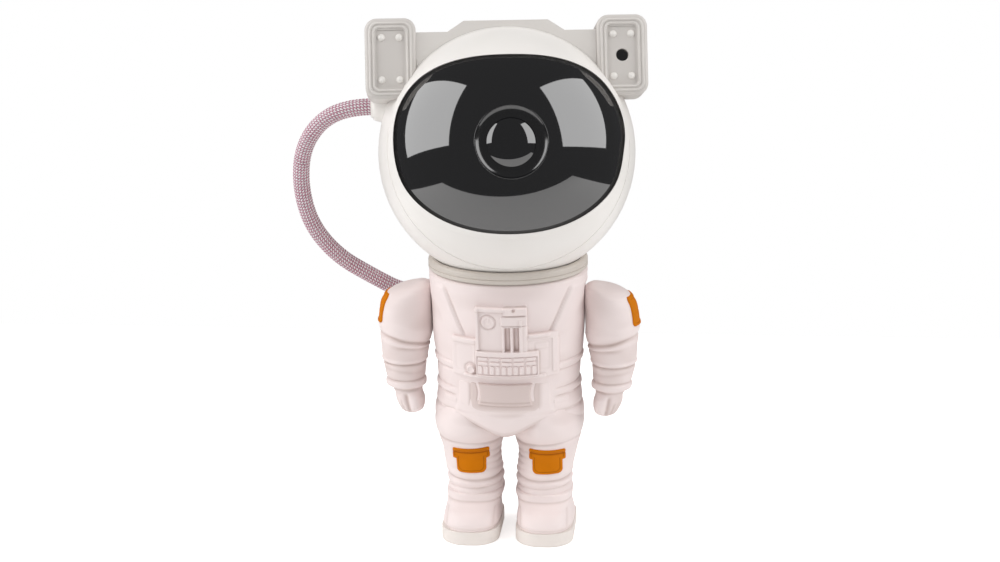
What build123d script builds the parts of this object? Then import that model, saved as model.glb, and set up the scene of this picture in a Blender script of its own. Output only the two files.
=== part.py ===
from build123d import *
import math
import os

os.makedirs("parts", exist_ok=True)

# A desk-top star and nebula projector in the shape of a standing space-suited figure.
# Millimetres. +Z is up, the figure faces -Y, and the origin is on the table under its middle.
# Left is -X, as seen from in front. The helmet is a ball that holds the projector. It sits in
# a cup ring, which turns on the suit's collar.

# Helmet
helmet_r = 54.4
shell_wall = 2.2
head_height = 168.5
head_tilt = 16.3
head_turn = 7.5
parting = 20.5
parting_chamfer = 0.7
tongue_length = 5.0
tongue_wall = 1.6
tongue_root = 2.0
glue_gap = 0.05
crown_flat = 52.6

visor_half_w = 47.6
visor_half_h = 36.6
visor_square_top = 2.7
visor_square_low = 2.1
visor_wall = 2.0
visor_sink = 0.4
visor_gap = 0.1
lip_width = 2.0
lip_height = 0.7
seat_inside = 1.6
seat_wall = 1.8

# Projector, set out along the lens axis as distances ahead of the helmet's centre
lens_r = 9.3
lens_rear = 47.0
lens_edge = 51.2
lens_front = 56.2
lens_gap = 0.1
bezel_inner_r = 9.7
bezel_outer_r = 14.1
bezel_front = 54.6
bezel_edge = 0.6
barrel_wall = 1.7
barrel_front = 50.5
barrel_ledge = 1.2
plate_front = 29.5
plate_thick = 2.5
plate_half_w = 22.0
plate_half_h = 31.0
tab_half_w = 14.0
tab_half_h = 38.5
tab_screw_x = 11.0
tab_screw_z = 35.0
boss_r = 3.0
pilot_r = 0.8
disc_offset = 18.0
disc_r = 24.0
disc_front = 23.0
disc_thick = 2.0
shaft_r = 1.0
shaft_clear = 0.05
shaft_depth = 5.0
hub_r = 4.0
hub_thick = 1.6
motor_r = 5.5
motor_front = 14.5
motor_length = 18.5
collar_gap = 0.05
motor_collar_wall = 1.8
motor_collar_length = 4.0
frame_front = 8.0
frame_thick = 2.5
post_r = 2.5
post_x = -14.0
post_z = 16.0
post_right_z = 27.6
led_board_r = 10.0
led_board_thick = 1.6
emitter_size = 2.0
emitter_height = 0.8
emitter_pitch = 3.2
condenser_r = 8.0
condenser_rear = 12.5
condenser_edge = 14.0
condenser_front = 17.6
condenser_gap = 0.05
holder_wall = 1.7
holder_front = 17.0
holder_ledge = 1.2
sink_size = 21.0
sink_base = 3.0
sink_fin = 10.5
sink_fin_thick = 1.5
sink_fins = 6
pedestal_r = 8.8
pedestal_gap = 0.1

# Electronics at the back of the helmet, as distances behind the helmet's centre
board_rear = 43.6
board_thick = 1.6
board_w = 36.0
board_h = 38.0
board_corner = 2.0
board_screw_x = 14.5
board_screw_z = 15.5
usb_z = -11.0
usb_w = 8.9
usb_h = 3.2
usb_corner = 1.5
usb_wall = 0.35
usb_tongue = 0.7
usb_mouth = 50.6
usb_clear = 0.6
button_x = 9.0
button_z = 8.0
button_r = 4.0
button_gap = 0.15
button_proud = 1.3
button_round = 0.6
button_flange_r = 5.3
button_flange_thick = 0.9
button_seat = 48.9
button_pad_r = 6.6
switch_size = 6.0
switch_height = 3.0
plunger_r = 1.6
plunger_height = 0.5
vent_slots = 5
vent_pitch = 4.0
vent_width = 1.6
vent_length = 20.0
vent_z = 30.0

# Side pods, and the bridge between them, in the helmet's own axes
pod_x = 48.1
pod_z = 38.0
pod_w = 21.2
pod_h = 33.6
pod_corner = 5.0
pod_face = 21.5
pod_depth = 19.5
pod_edge = 1.5
pod_wall = 1.8
pod_groove_inset = 1.8
pod_groove_width = 0.6
pod_groove_depth = 0.6
pod_recess_inset = 3.7
pod_recess_depth = 2.0
panel_thick = 1.0
panel_gap = 0.1
panel_rim = 1.2
panel_rim_height = 0.5
rivet_x = 3.7
rivet_z = 8.7
rivet_head_r = 1.5
rivet_head_h = 0.9
rivet_round = 0.7
rivet_shank_r = 0.8
rivet_shank = 2.2
aperture_r = 2.6
laser_r = 3.0
laser_length = 10.0
laser_gap = 0.05
laser_holder_wall = 1.2
laser_flange_r = 6.0
laser_flange_thick = 1.5
grating_thick = 0.6
bridge_face = 19.5
bridge_depth = 11.5
bridge_pad_depth = 32.0
bridge_top = 53.4
bridge_shoulder = 48.9
bridge_low = 28.0
bridge_top_half = 17.5
bridge_slope_half = 24.4
bridge_gap = 0.1

# Steel dish in the helmet's base, over the magnet
catch_r = 22.0
catch_wall = 1.2

# Neck: a cup ring that turns on the suit's collar and holds the helmet
seat_clear = 0.3
ring_r = 34.2
ring_top = 125.0
ring_bottom = 117.6
ring_edge = 0.4
spigot_r = 24.0
spigot_clear = 0.08
flange_r = 27.5
flange_top = 114.9
flange_thick = 2.2
cup_floor = 107.6
magnet_r = 12.0
magnet_thick = 4.0
magnet_top = 113.6
magnet_gap = 0.1

# Suit: wall, collar, boots and the screws that hold its front and back halves
suit_wall = 2.4
collar_top = 117.3
collar_wall = 2.2
crotch = 43.0
shoulder_flat = 33.0
shoulder_flat_top = 113.0
sole_height = 6.2
boot_x = 16.1
boot_w = 24.4
boot_length = 42.0
boot_y = -5.0
boot_corner = 10.4
boot_height = 8.6
boot_round = 5.6
sole_proud = 0.4
sole_edge = 1.0
sole_plug = 1.5
sole_plug_gap = 0.15
weight_gap = 0.4
weight_height = 12.0
suit_screw_x = 18.0
suit_screw_high = 97.0
suit_screw_low = 70.0
suit_boss_r = 4.6
screw_r = 1.25
screw_hole_clear = 0.15
screw_head_r = 2.7
screw_head_h = 1.9
screw_head_y = 12.0
screw_length = 22.0
driver_r = 3.1

# Suit body from the collar down: height, half width, half depth
torso_sections = [
    (collar_top, 34.0, 33.6),
    (110.0, 33.6, 32.8),
    (97.0, 33.0, 30.8),
    (85.0, 32.2, 28.9),
    (73.5, 30.6, 27.5),
    (62.0, 31.6, 27.6),
    (54.0, 32.6, 27.4),
    (crotch, 30.4, 23.0),
]

# Leg: height, centre in X, half width, half depth, centre in Y
leg_sections = [
    (58.0, 15.6, 14.6, 20.0, 0.0),
    (47.0, 16.8, 13.8, 18.2, 0.0),
    (39.0, 16.6, 13.2, 16.4, -0.5),
    (31.0, 15.8, 12.2, 14.8, -1.0),
    (25.0, 15.2, 11.8, 14.0, -1.0),
    (18.0, 15.1, 11.8, 14.2, -0.5),
    (12.5, 14.9, 11.0, 13.8, 0.0),
    (sole_height, 14.9, 11.0, 13.8, 0.0),
]

# Arm: height, centre in X, half width, half depth, centre in Y
arm_sections = [
    (110.2, 40.0, 5.0, 7.0, 0.0),
    (107.6, 42.4, 9.6, 10.6, 0.0),
    (102.0, 43.9, 11.4, 12.4, 0.0),
    (94.0, 44.6, 11.4, 12.4, 0.0),
    (86.0, 44.9, 10.9, 11.8, -0.5),
    (76.0, 45.4, 9.4, 10.4, -1.5),
    (66.5, 44.6, 7.2, 8.6, -3.0),
    (60.0, 42.4, 5.8, 7.0, -4.0),
    (56.0, 41.9, 4.8, 5.6, -4.5),
    (53.8, 42.0, 2.4, 3.0, -4.5),
]
arm_gap = 0.2
arm_spigot_r = 5.0
arm_spigot_length = 6.0
arm_spigot_z = 99.0
arm_spigot_gap = 0.1

# Relief moulded on the suit's front, and the coloured patches laid on it
patch_thick = 0.6
patch_gap = 0.05
knee_patch_x = 16.5
knee_patch_w = 16.8
knee_patch_low_w = 13.8
knee_patch_top = 41.7
knee_patch_step = 36.6
knee_patch_bottom = 29.6
shoulder_patch_half_y = 8.5
shoulder_patch_top = 107.0
shoulder_patch_bottom = 93.0
shoulder_patch_in = 46.0
unit_relief = 2.0
unit_half_w = 22.1
unit_top = 95.7
unit_bottom = 77.3
tower_relief = 2.6
tower_half_w = 10.8
tower_top = 110.6
keypad_relief = 3.6
keypad_x = 1.2
keypad_half_w = 12.0
keypad_top = 89.4
keypad_bottom = 78.9
belt_relief = 0.8
belt_top = 65.4
belt_bottom = 62.4
pouch_relief = 1.6
pouch_half_w = 11.8
pouch_top = 76.2
pouch_bottom = 65.4
knob_x = -15.0
knob_z = 84.3
knob_r = 2.6
knob_root = 25.0
knob_length = 4.4

# Back pack
pack_half_w = 24.0
pack_low = 66.0
pack_high = 112.0
pack_rear = 44.0
pack_round = 5.0
pack_wall = 2.2
pack_root = 12.0
cover_thick = 2.0
cover_edge = 0.8
cover_screw_x = 16.0
cover_screw_low = 73.0
cover_screw_high = 105.0
cover_boss_r = 3.0

# Small screws
small_screw_r = 0.75
small_hole_clear = 0.15
small_head_r = 1.6
small_head_h = 1.0
small_screw_grip = 4.0

# Hose from the helmet to the pack, and its two end fittings
hose_r = 3.6
gland_y = 7.0
gland_z = 21.0
gland_r = 6.0
gland_neck_r = 4.6
gland_hole_clear = 0.1
gland_collar_out = 55.4
gland_out = 57.4
gland_in = 45.0
port_y = 37.0
port_z = 99.5
port_out = 28.4
port_flange_r = 5.6
port_flange_thick = 1.6
port_in = 21.3
hose_start = 9.0
hose_points = [
    (-80.5, 6.5, 180.5),
    (-89.6, 10.5, 167.5),
    (-92.0, 14.5, 150.0),
    (-88.8, 19.0, 131.5),
    (-78.5, 24.0, 115.5),
    (-63.5, 29.8, 105.3),
    (-47.5, 34.6, 100.6),
]
hose_end = 9.0
bend_share = 0.45

# The helmet's own axes: across to the right-hand pod, out of the visor, and up
tilt = math.radians(head_tilt)
turn = math.radians(head_turn)
look = Vector(math.sin(turn) * math.cos(tilt), -math.cos(turn) * math.cos(tilt), math.sin(tilt))
across = Vector(math.cos(turn), math.sin(turn), 0)
up = look.cross(across)
head = Plane(origin=(0, 0, head_height), x_dir=across, z_dir=up)
sides = ((-1, "left"), (1, "right"))


def in_head(x, ahead, z):
    """A point of the helmet: across, ahead of its centre, and up."""
    return head.origin + across * x + look * ahead + up * z


def facing(ahead, x=0.0, z=0.0):
    """A plane that looks out of the visor."""
    return Plane(origin=in_head(x, ahead, z), x_dir=across, z_dir=look)


def level(z):
    """A plane across the helmet, which looks up."""
    return Plane(origin=in_head(0, 0, z), x_dir=across, z_dir=up)


def meridian(x=0.0, z=0.0):
    """A plane along the lens axis, or along a line beside it: X outwards, Y ahead."""
    return Plane(origin=in_head(x, 0, z), x_dir=across, z_dir=up * -1)


def line_ahead(x=0.0, z=0.0):
    """A line along the lens axis, or beside it."""
    return Axis(in_head(x, 0, z), look)


def ahead_at(radius, r):
    """How far ahead a ball's surface lies, at a distance r from its axis."""
    return math.sqrt(radius * radius - r * r)


def ball(radius, top=None):
    """The helmet's ball at any radius, with a flat crown if it has a top."""
    with BuildPart(head) as form:
        Sphere(radius)
        if top is not None:
            split(bisect_by=level(top), keep=Keep.BOTTOM)
    return form.part


def zone(outer, inner, start, end):
    """A zone of the ball's wall, between two planes across the lens axis."""
    spans = []
    for radius in (outer, inner):
        low = math.degrees(math.asin(max(-1, min(1, start / radius))))
        high = math.degrees(math.asin(max(-1, min(1, end / radius))))
        spans.append((low, high - low))
    with BuildPart() as form:
        with BuildSketch(meridian()):
            with BuildLine():
                outside = CenterArc((0, 0), outer, *spans[0])
                inside = CenterArc((0, 0), inner, *spans[1])
                Line(outside @ 0, inside @ 0)
                Line(outside @ 1, inside @ 1)
            make_face()
        revolve(axis=line_ahead())
    return form.part


def oval(half_w, half_h, steps=16):
    """Points of the visor's outline, which is squarer in its upper half."""
    points = []
    for step in range(steps):
        angle = 2 * math.pi * step / steps
        power = 2 / (visor_square_top if math.sin(angle) > 0 else visor_square_low)
        c = math.cos(angle)
        s = math.sin(angle)
        x = half_w * math.copysign(abs(c) ** power, c)
        y = half_h * math.copysign(abs(s) ** power, s)
        points.append((x, y))
    return points


def visor_bar(grow):
    """The visor's outline, grown outwards, as a bar along the lens axis."""
    with BuildPart() as form:
        with BuildSketch(facing(parting - tongue_length)):
            with BuildLine():
                Spline(*oval(visor_half_w + grow, visor_half_h + grow), periodic=True)
            make_face()
        extrude(amount=helmet_r)
    return form.part


def torso(grow):
    """The suit's body, grown outwards."""
    with BuildPart() as form:
        for height, half_w, half_d in torso_sections:
            with BuildSketch(Plane.XY.offset(height)):
                Ellipse(half_w + grow, half_d + grow)
        loft()
    return form.part


def leg(side, grow):
    """A leg, grown outwards."""
    with BuildPart() as form:
        for height, centre_x, half_w, half_d, centre_y in leg_sections:
            with BuildSketch(Plane.XY.offset(height)):
                with Locations((side * centre_x, centre_y)):
                    Ellipse(half_w + grow, half_d + grow)
        loft()
    return form.part


def arm(side, grow):
    """An arm down to its fingertips, grown outwards."""
    with BuildPart() as form:
        for height, centre_x, half_w, half_d, centre_y in arm_sections:
            with BuildSketch(Plane.XY.offset(height)):
                with Locations((side * centre_x, centre_y)):
                    Ellipse(half_w + grow, half_d + grow)
        loft()
    return form.part


def boot(side, grow):
    """A boot's upper, grown outwards."""
    with BuildPart() as form:
        with BuildSketch(Plane.XY.offset(sole_height)):
            with Locations((side * boot_x, boot_y)):
                RectangleRounded(boot_w + 2 * grow, boot_length + 2 * grow, boot_corner + grow)
        extrude(amount=boot_height + grow)
        fillet(form.faces().sort_by(Axis.Z)[-1].edges(), boot_round + grow)
    return form.part


def relief(grow, x_low, x_high, z_low, z_high):
    """A panel that stands proud of the suit's front."""
    with BuildPart() as form:
        add(torso(grow))
        with BuildSketch(Plane.XZ):
            with Locations(((x_low + x_high) / 2, (z_low + z_high) / 2)):
                Rectangle(x_high - x_low, z_high - z_low)
        extrude(amount=2 * shoulder_flat, mode=Mode.INTERSECT)
    return form.part


def screw(plane, spots, shank_r, shank, head_r, head_h):
    """Screws with their heads on a plane, and their shanks running from it."""
    with BuildPart() as form:
        with BuildSketch(plane):
            with Locations(*spots):
                Circle(head_r)
        extrude(amount=-head_h)
        with BuildSketch(plane):
            with Locations(*spots):
                Circle(shank_r)
        extrude(amount=shank)
    return form.part


def finish(piece, label):
    """Name a piece and write its STEP file."""
    piece.label = label
    export_step(piece, "parts/" + label + ".step")


# Helmet front: the ball around the visor, with a lip, a seat for the visor and a tongue
visor_back_r = helmet_r - visor_sink - visor_wall
seat_back_r = visor_back_r - seat_wall
inside_r = helmet_r - shell_wall
tongue_r = inside_r - glue_gap
tab_spots = [(x, z) for x in (-tab_screw_x, tab_screw_x) for z in (-tab_screw_z, tab_screw_z)]
with BuildPart() as lip_form:
    add(zone(helmet_r + lip_height, tongue_r, parting + tongue_root, helmet_r + lip_height))
    add(visor_bar(lip_width), mode=Mode.INTERSECT)
with BuildPart() as seat_form:
    add(zone(inside_r + glue_gap, seat_back_r, parting, inside_r + glue_gap))
    add(visor_bar(lip_width), mode=Mode.INTERSECT)
    add(visor_bar(-seat_inside), mode=Mode.SUBTRACT)
with BuildPart() as boss_form:
    with BuildSketch(facing(plate_front)):
        with Locations(*tab_spots):
            Circle(boss_r)
    extrude(amount=helmet_r)
    add(ball(visor_back_r - glue_gap), mode=Mode.INTERSECT)
with BuildPart() as helmet_front:
    add(zone(helmet_r, inside_r, parting, helmet_r))
    rims = helmet_front.edges().filter_by(GeomType.CIRCLE).sort_by(SortBy.LENGTH)
    chamfer(rims[-1], parting_chamfer)
    add(zone(inside_r + glue_gap, tongue_r - tongue_wall, parting, parting + tongue_root))
    add(zone(tongue_r, tongue_r - tongue_wall, parting - tongue_length, parting))
    add(lip_form.part)
    add(visor_bar(-seat_inside), mode=Mode.SUBTRACT)
    add(seat_form.part)
    add(visor_bar(0) - ball(visor_back_r - glue_gap), mode=Mode.SUBTRACT)
    add(boss_form.part)
    with BuildSketch(facing(plate_front)):
        with Locations(*tab_spots):
            Circle(pilot_r)
    extrude(amount=small_screw_grip + small_head_h, mode=Mode.SUBTRACT)
finish(helmet_front.part, "helmet_front")

# Visor: a curved black plate, sunk a little inside its lip, with a hole for the lens barrel
barrel_r = lens_r + lens_gap + barrel_wall
with BuildPart() as visor:
    add(zone(helmet_r - visor_sink, visor_back_r, parting + visor_gap, helmet_r))
    add(visor_bar(-visor_gap), mode=Mode.INTERSECT)
    with BuildSketch(facing(plate_front)):
        Circle(barrel_r + visor_gap)
    extrude(amount=helmet_r, mode=Mode.SUBTRACT)
finish(visor.part, "visor")

# Lens bezel: a ring on the visor, with a skirt through it down to the barrel
with BuildPart() as lens_bezel:
    with BuildSketch(facing(barrel_front + lens_gap)):
        Circle(bezel_outer_r)
        Circle(bezel_inner_r, mode=Mode.SUBTRACT)
    extrude(amount=bezel_front - barrel_front - lens_gap)
    fillet(lens_bezel.faces().sort_by(line_ahead())[-1].edges(), bezel_edge)
    with BuildSketch(facing(barrel_front + lens_gap)):
        Circle(bezel_outer_r + lip_width)
        Circle(barrel_r, mode=Mode.SUBTRACT)
    extrude(amount=ahead_at(helmet_r - visor_sink, barrel_r) - barrel_front, mode=Mode.SUBTRACT)
    with BuildSketch(facing(barrel_front)):
        Circle(bezel_outer_r + lip_width)
        Circle(barrel_r, mode=Mode.SUBTRACT)
    bed = extrude(amount=bezel_front - barrel_front, mode=Mode.PRIVATE)
    add(bed & ball(helmet_r - visor_sink + glue_gap), mode=Mode.SUBTRACT)
finish(lens_bezel.part, "lens_bezel")

# Projection lens: a domed glass seated on the barrel's ledge
with BuildPart() as projection_lens:
    with BuildSketch(meridian()):
        with BuildLine():
            dome = RadiusArc(
                (lens_r, lens_edge),
                (0, lens_front),
                -(lens_r**2 + (lens_front - lens_edge) ** 2) / (2 * (lens_front - lens_edge)),
            )
            Polyline(dome @ 1, (0, lens_rear), (lens_r, lens_rear), dome @ 0)
        make_face()
    revolve(axis=line_ahead())
finish(projection_lens.part, "projection_lens")

# Lens barrel: a tube from the front plate through the visor
with BuildPart() as lens_barrel:
    with BuildSketch(facing(plate_front)):
        Circle(barrel_r)
        Circle(lens_r - barrel_ledge, mode=Mode.SUBTRACT)
    extrude(amount=barrel_front - plate_front)
    with BuildSketch(facing(lens_rear)):
        Circle(lens_r + lens_gap)
    extrude(amount=barrel_front - lens_rear, mode=Mode.SUBTRACT)
finish(lens_barrel.part, "lens_barrel")

# Front plate of the projector: screwed to the helmet, with posts for the rear frame
posts = [
    (post_x, post_z),
    (post_x, -post_z),
    (disc_offset, post_right_z),
    (disc_offset, -post_right_z),
]
with BuildPart() as light_plate:
    with BuildSketch(facing(plate_front - plate_thick)):
        Rectangle(2 * plate_half_w, 2 * plate_half_h)
        Rectangle(2 * tab_half_w, 2 * tab_half_h)
        Circle(lens_r - barrel_ledge, mode=Mode.SUBTRACT)
        with Locations(*tab_spots):
            Circle(small_screw_r + small_hole_clear, mode=Mode.SUBTRACT)
    extrude(amount=plate_thick)
    with BuildSketch(facing(frame_front)):
        with Locations(*posts):
            Circle(post_r)
    extrude(amount=plate_front - plate_thick - frame_front)
    with BuildSketch(facing(frame_front)):
        with Locations(*posts):
            Circle(pilot_r)
    extrude(amount=small_screw_grip + small_head_h, mode=Mode.SUBTRACT)
finish(light_plate.part, "light_plate")

plate_back = facing(plate_front - plate_thick)
plate_grip = plate_thick + small_screw_grip
plate_screws = screw(plate_back, tab_spots, small_screw_r, plate_grip, small_head_r, small_head_h)
finish(plate_screws, "plate_screws")

# Rear frame: carries the light source on the lens axis and clamps the motor beside it
frame_back = frame_front - frame_thick
with BuildPart() as light_frame:
    with BuildSketch(facing(frame_back)):
        Rectangle(2 * plate_half_w, 2 * plate_half_h)
        Circle(pedestal_r + pedestal_gap, mode=Mode.SUBTRACT)
        with Locations(*posts):
            Circle(small_screw_r + small_hole_clear, mode=Mode.SUBTRACT)
    extrude(amount=frame_thick)
    with BuildSketch(facing(frame_back, disc_offset)):
        Circle(motor_r + collar_gap + motor_collar_wall)
    extrude(amount=frame_thick + motor_collar_length)
    with BuildSketch(facing(frame_back, disc_offset)):
        Circle(motor_r + collar_gap)
    extrude(amount=frame_thick + motor_collar_length, mode=Mode.SUBTRACT)
finish(light_frame.part, "light_frame")

frame_grip = frame_thick + small_screw_grip
frame_screws = screw(facing(frame_back), posts, small_screw_r, frame_grip, small_head_r, small_head_h)
finish(frame_screws, "frame_screws")

# Light source: emitters on a round board, backed by a finned heat sink
with BuildPart() as led_board:
    with BuildSketch(facing(frame_front)):
        Circle(led_board_r)
    extrude(amount=led_board_thick)
finish(led_board.part, "led_board")

with BuildPart() as led_emitters:
    with BuildSketch(facing(frame_front + led_board_thick)):
        with GridLocations(emitter_pitch, emitter_pitch, 2, 2):
            Rectangle(emitter_size, emitter_size)
    extrude(amount=emitter_height)
finish(led_emitters.part, "led_emitters")

fin_pitch = (sink_size - sink_fin_thick) / (sink_fins - 1)
with BuildPart() as heat_sink:
    with BuildSketch(facing(frame_back - sink_base)):
        Rectangle(sink_size, sink_size)
    extrude(amount=sink_base)
    with BuildSketch(facing(frame_back)):
        Circle(pedestal_r)
    extrude(amount=frame_thick)
    with BuildSketch(facing(frame_back - sink_base)):
        with GridLocations(fin_pitch, 0, sink_fins, 1):
            Rectangle(sink_fin_thick, sink_size)
    extrude(amount=-sink_fin)
finish(heat_sink.part, "heat_sink")

# Condenser: a thick lens in a short holder that stands on the light board
holder_rear = frame_front + led_board_thick
with BuildPart() as condenser_holder:
    with BuildSketch(facing(holder_rear)):
        Circle(condenser_r + condenser_gap + holder_wall)
        Circle(condenser_r - holder_ledge, mode=Mode.SUBTRACT)
    extrude(amount=holder_front - holder_rear)
    with BuildSketch(facing(condenser_rear)):
        Circle(condenser_r + condenser_gap)
    extrude(amount=holder_front - condenser_rear, mode=Mode.SUBTRACT)
finish(condenser_holder.part, "condenser_holder")

condenser_rise = condenser_front - condenser_edge
with BuildPart() as condenser_lens:
    with BuildSketch(meridian()):
        with BuildLine():
            bulge = RadiusArc(
                (condenser_r, condenser_edge),
                (0, condenser_front),
                -(condenser_r**2 + condenser_rise**2) / (2 * condenser_rise),
            )
            Polyline(bulge @ 1, (0, condenser_rear), (condenser_r, condenser_rear), bulge @ 0)
        make_face()
    revolve(axis=line_ahead())
finish(condenser_lens.part, "condenser_lens")

# Motor with its shaft hole, and the ripple disc that turns on its shaft in front of the light
with BuildPart() as motor:
    with BuildSketch(facing(motor_front, disc_offset)):
        Circle(motor_r)
    extrude(amount=-motor_length)
    with BuildSketch(facing(motor_front, disc_offset)):
        Circle(shaft_r + shaft_clear)
    extrude(amount=-shaft_depth - shaft_clear, mode=Mode.SUBTRACT)
finish(motor.part, "motor")

disc_rear = disc_front - disc_thick
with BuildPart() as ripple_disc:
    with BuildSketch(facing(disc_rear, disc_offset)):
        Circle(disc_r)
        Circle(shaft_r, mode=Mode.SUBTRACT)
    extrude(amount=disc_thick)
finish(ripple_disc.part, "ripple_disc")

with BuildPart() as drive_shaft:
    with BuildSketch(facing(motor_front - shaft_depth, disc_offset)):
        Circle(shaft_r)
    extrude(amount=disc_front + hub_thick - motor_front + shaft_depth)
    for start in (disc_rear - hub_thick, disc_front):
        with BuildSketch(facing(start, disc_offset)):
            Circle(hub_r)
        extrude(amount=hub_thick)
finish(drive_shaft.part, "drive_shaft")

# Helmet rear: the rest of the ball, with a flat crown, board bosses, button pads and openings
button_spots = [(-button_x, button_z), (button_x, button_z)]
board_spots = [(x, z) for x in (-board_screw_x, board_screw_x) for z in (-board_screw_z, board_screw_z)]
with BuildPart() as rear_bosses:
    with BuildSketch(facing(-board_rear)):
        with Locations(*board_spots):
            Circle(boss_r)
    extrude(amount=board_rear - helmet_r)
    with BuildSketch(facing(-button_seat)):
        with Locations(*button_spots):
            Circle(button_pad_r)
    extrude(amount=button_seat - helmet_r)
    add(ball(inside_r + glue_gap), mode=Mode.INTERSECT)
with BuildPart() as helmet_rear:
    add(ball(helmet_r, crown_flat))
    add(ball(inside_r, crown_flat - shell_wall), mode=Mode.SUBTRACT)
    split(bisect_by=facing(parting), keep=Keep.BOTTOM)
    add(rear_bosses.part)
    with BuildSketch(facing(-board_rear)):
        with Locations(*board_spots):
            Circle(pilot_r)
    extrude(amount=-small_screw_grip - small_head_h, mode=Mode.SUBTRACT)
    with BuildSketch(facing(-board_rear)):
        with Locations(*button_spots):
            Circle(button_r + button_gap)
        with Locations((0, usb_z)):
            RectangleRounded(usb_w + 2 * usb_clear, usb_h + 2 * usb_clear, usb_corner + usb_clear)
        with Locations((0, vent_z)):
            with GridLocations(0, vent_pitch, 1, vent_slots):
                SlotOverall(vent_length, vent_width)
    extrude(amount=board_rear - helmet_r, mode=Mode.SUBTRACT)
    with BuildSketch(facing(-board_rear + vent_pitch)):
        with Locations((0, vent_z)):
            with GridLocations(0, vent_pitch, 1, vent_slots):
                SlotOverall(vent_length, vent_width)
    extrude(amount=-helmet_r, mode=Mode.SUBTRACT)
    with BuildSketch(Plane(origin=in_head(-gland_in, -gland_y, gland_z), z_dir=across * -1)):
        Circle(gland_neck_r + gland_hole_clear)
    extrude(amount=gland_out - gland_in, mode=Mode.SUBTRACT)
finish(helmet_rear.part, "helmet_rear")

# Main board on its bosses, with the inlet socket and two tact switches behind it
with BuildPart() as main_board:
    with BuildSketch(facing(-board_rear)):
        RectangleRounded(board_w, board_h, board_corner)
        with Locations(*board_spots):
            Circle(small_screw_r + small_hole_clear, mode=Mode.SUBTRACT)
    extrude(amount=board_thick)
finish(main_board.part, "main_board")

board_front = Plane(origin=in_head(0, board_thick - board_rear, 0), x_dir=across, z_dir=look * -1)
front_spots = [(x, -z) for x, z in board_spots]
board_grip = board_thick + small_screw_grip
board_screws = screw(board_front, front_spots, small_screw_r, board_grip, small_head_r, small_head_h)
finish(board_screws, "board_screws")

with BuildPart() as usb_socket:
    with BuildSketch(facing(-usb_mouth, 0, usb_z)):
        RectangleRounded(usb_w, usb_h, usb_corner)
        RectangleRounded(
            usb_w - 2 * usb_wall, usb_h - 2 * usb_wall, usb_corner - usb_wall, mode=Mode.SUBTRACT
        )
    extrude(amount=usb_mouth - board_rear)
    with BuildSketch(facing(-board_rear, 0, usb_z)):
        RectangleRounded(usb_w, usb_h, usb_corner)
    extrude(amount=-usb_wall)
    with BuildSketch(facing(-board_rear, 0, usb_z)):
        Rectangle(usb_w - 3 * usb_tongue, usb_tongue)
    extrude(amount=board_rear - usb_mouth + usb_tongue)
finish(usb_socket.part, "usb_socket")

for (x, z), name in zip(button_spots, ("nebula", "star")):
    with BuildPart() as switch:
        with BuildSketch(facing(-board_rear, x, z)):
            Rectangle(switch_size, switch_size)
        extrude(amount=-switch_height)
        with BuildSketch(facing(-board_rear - switch_height, x, z)):
            Circle(plunger_r)
        extrude(amount=-plunger_height)
    finish(switch.part, name + "_switch")

    with BuildPart() as button:
        with BuildSketch(facing(-button_seat, x, z)):
            Circle(button_r)
        extrude(amount=button_seat - ahead_at(helmet_r, math.hypot(x, z)) - button_proud)
        fillet(button.faces().sort_by(line_ahead())[0].edges(), button_round)
        with BuildSketch(facing(-button_seat, x, z)):
            Circle(button_flange_r)
        extrude(amount=button_flange_thick)
    finish(button.part, "button_" + name)

# Catch dish: steel, under the helmet's shell, in line with the neck
with BuildPart() as catch_dish:
    with BuildSketch(Plane.XY.offset(head_height)):
        Circle(catch_r)
    extrude(amount=-helmet_r)
    add(ball(inside_r - glue_gap), mode=Mode.INTERSECT)
    add(ball(inside_r - glue_gap - catch_wall), mode=Mode.SUBTRACT)
finish(catch_dish.part, "catch_dish")

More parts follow.
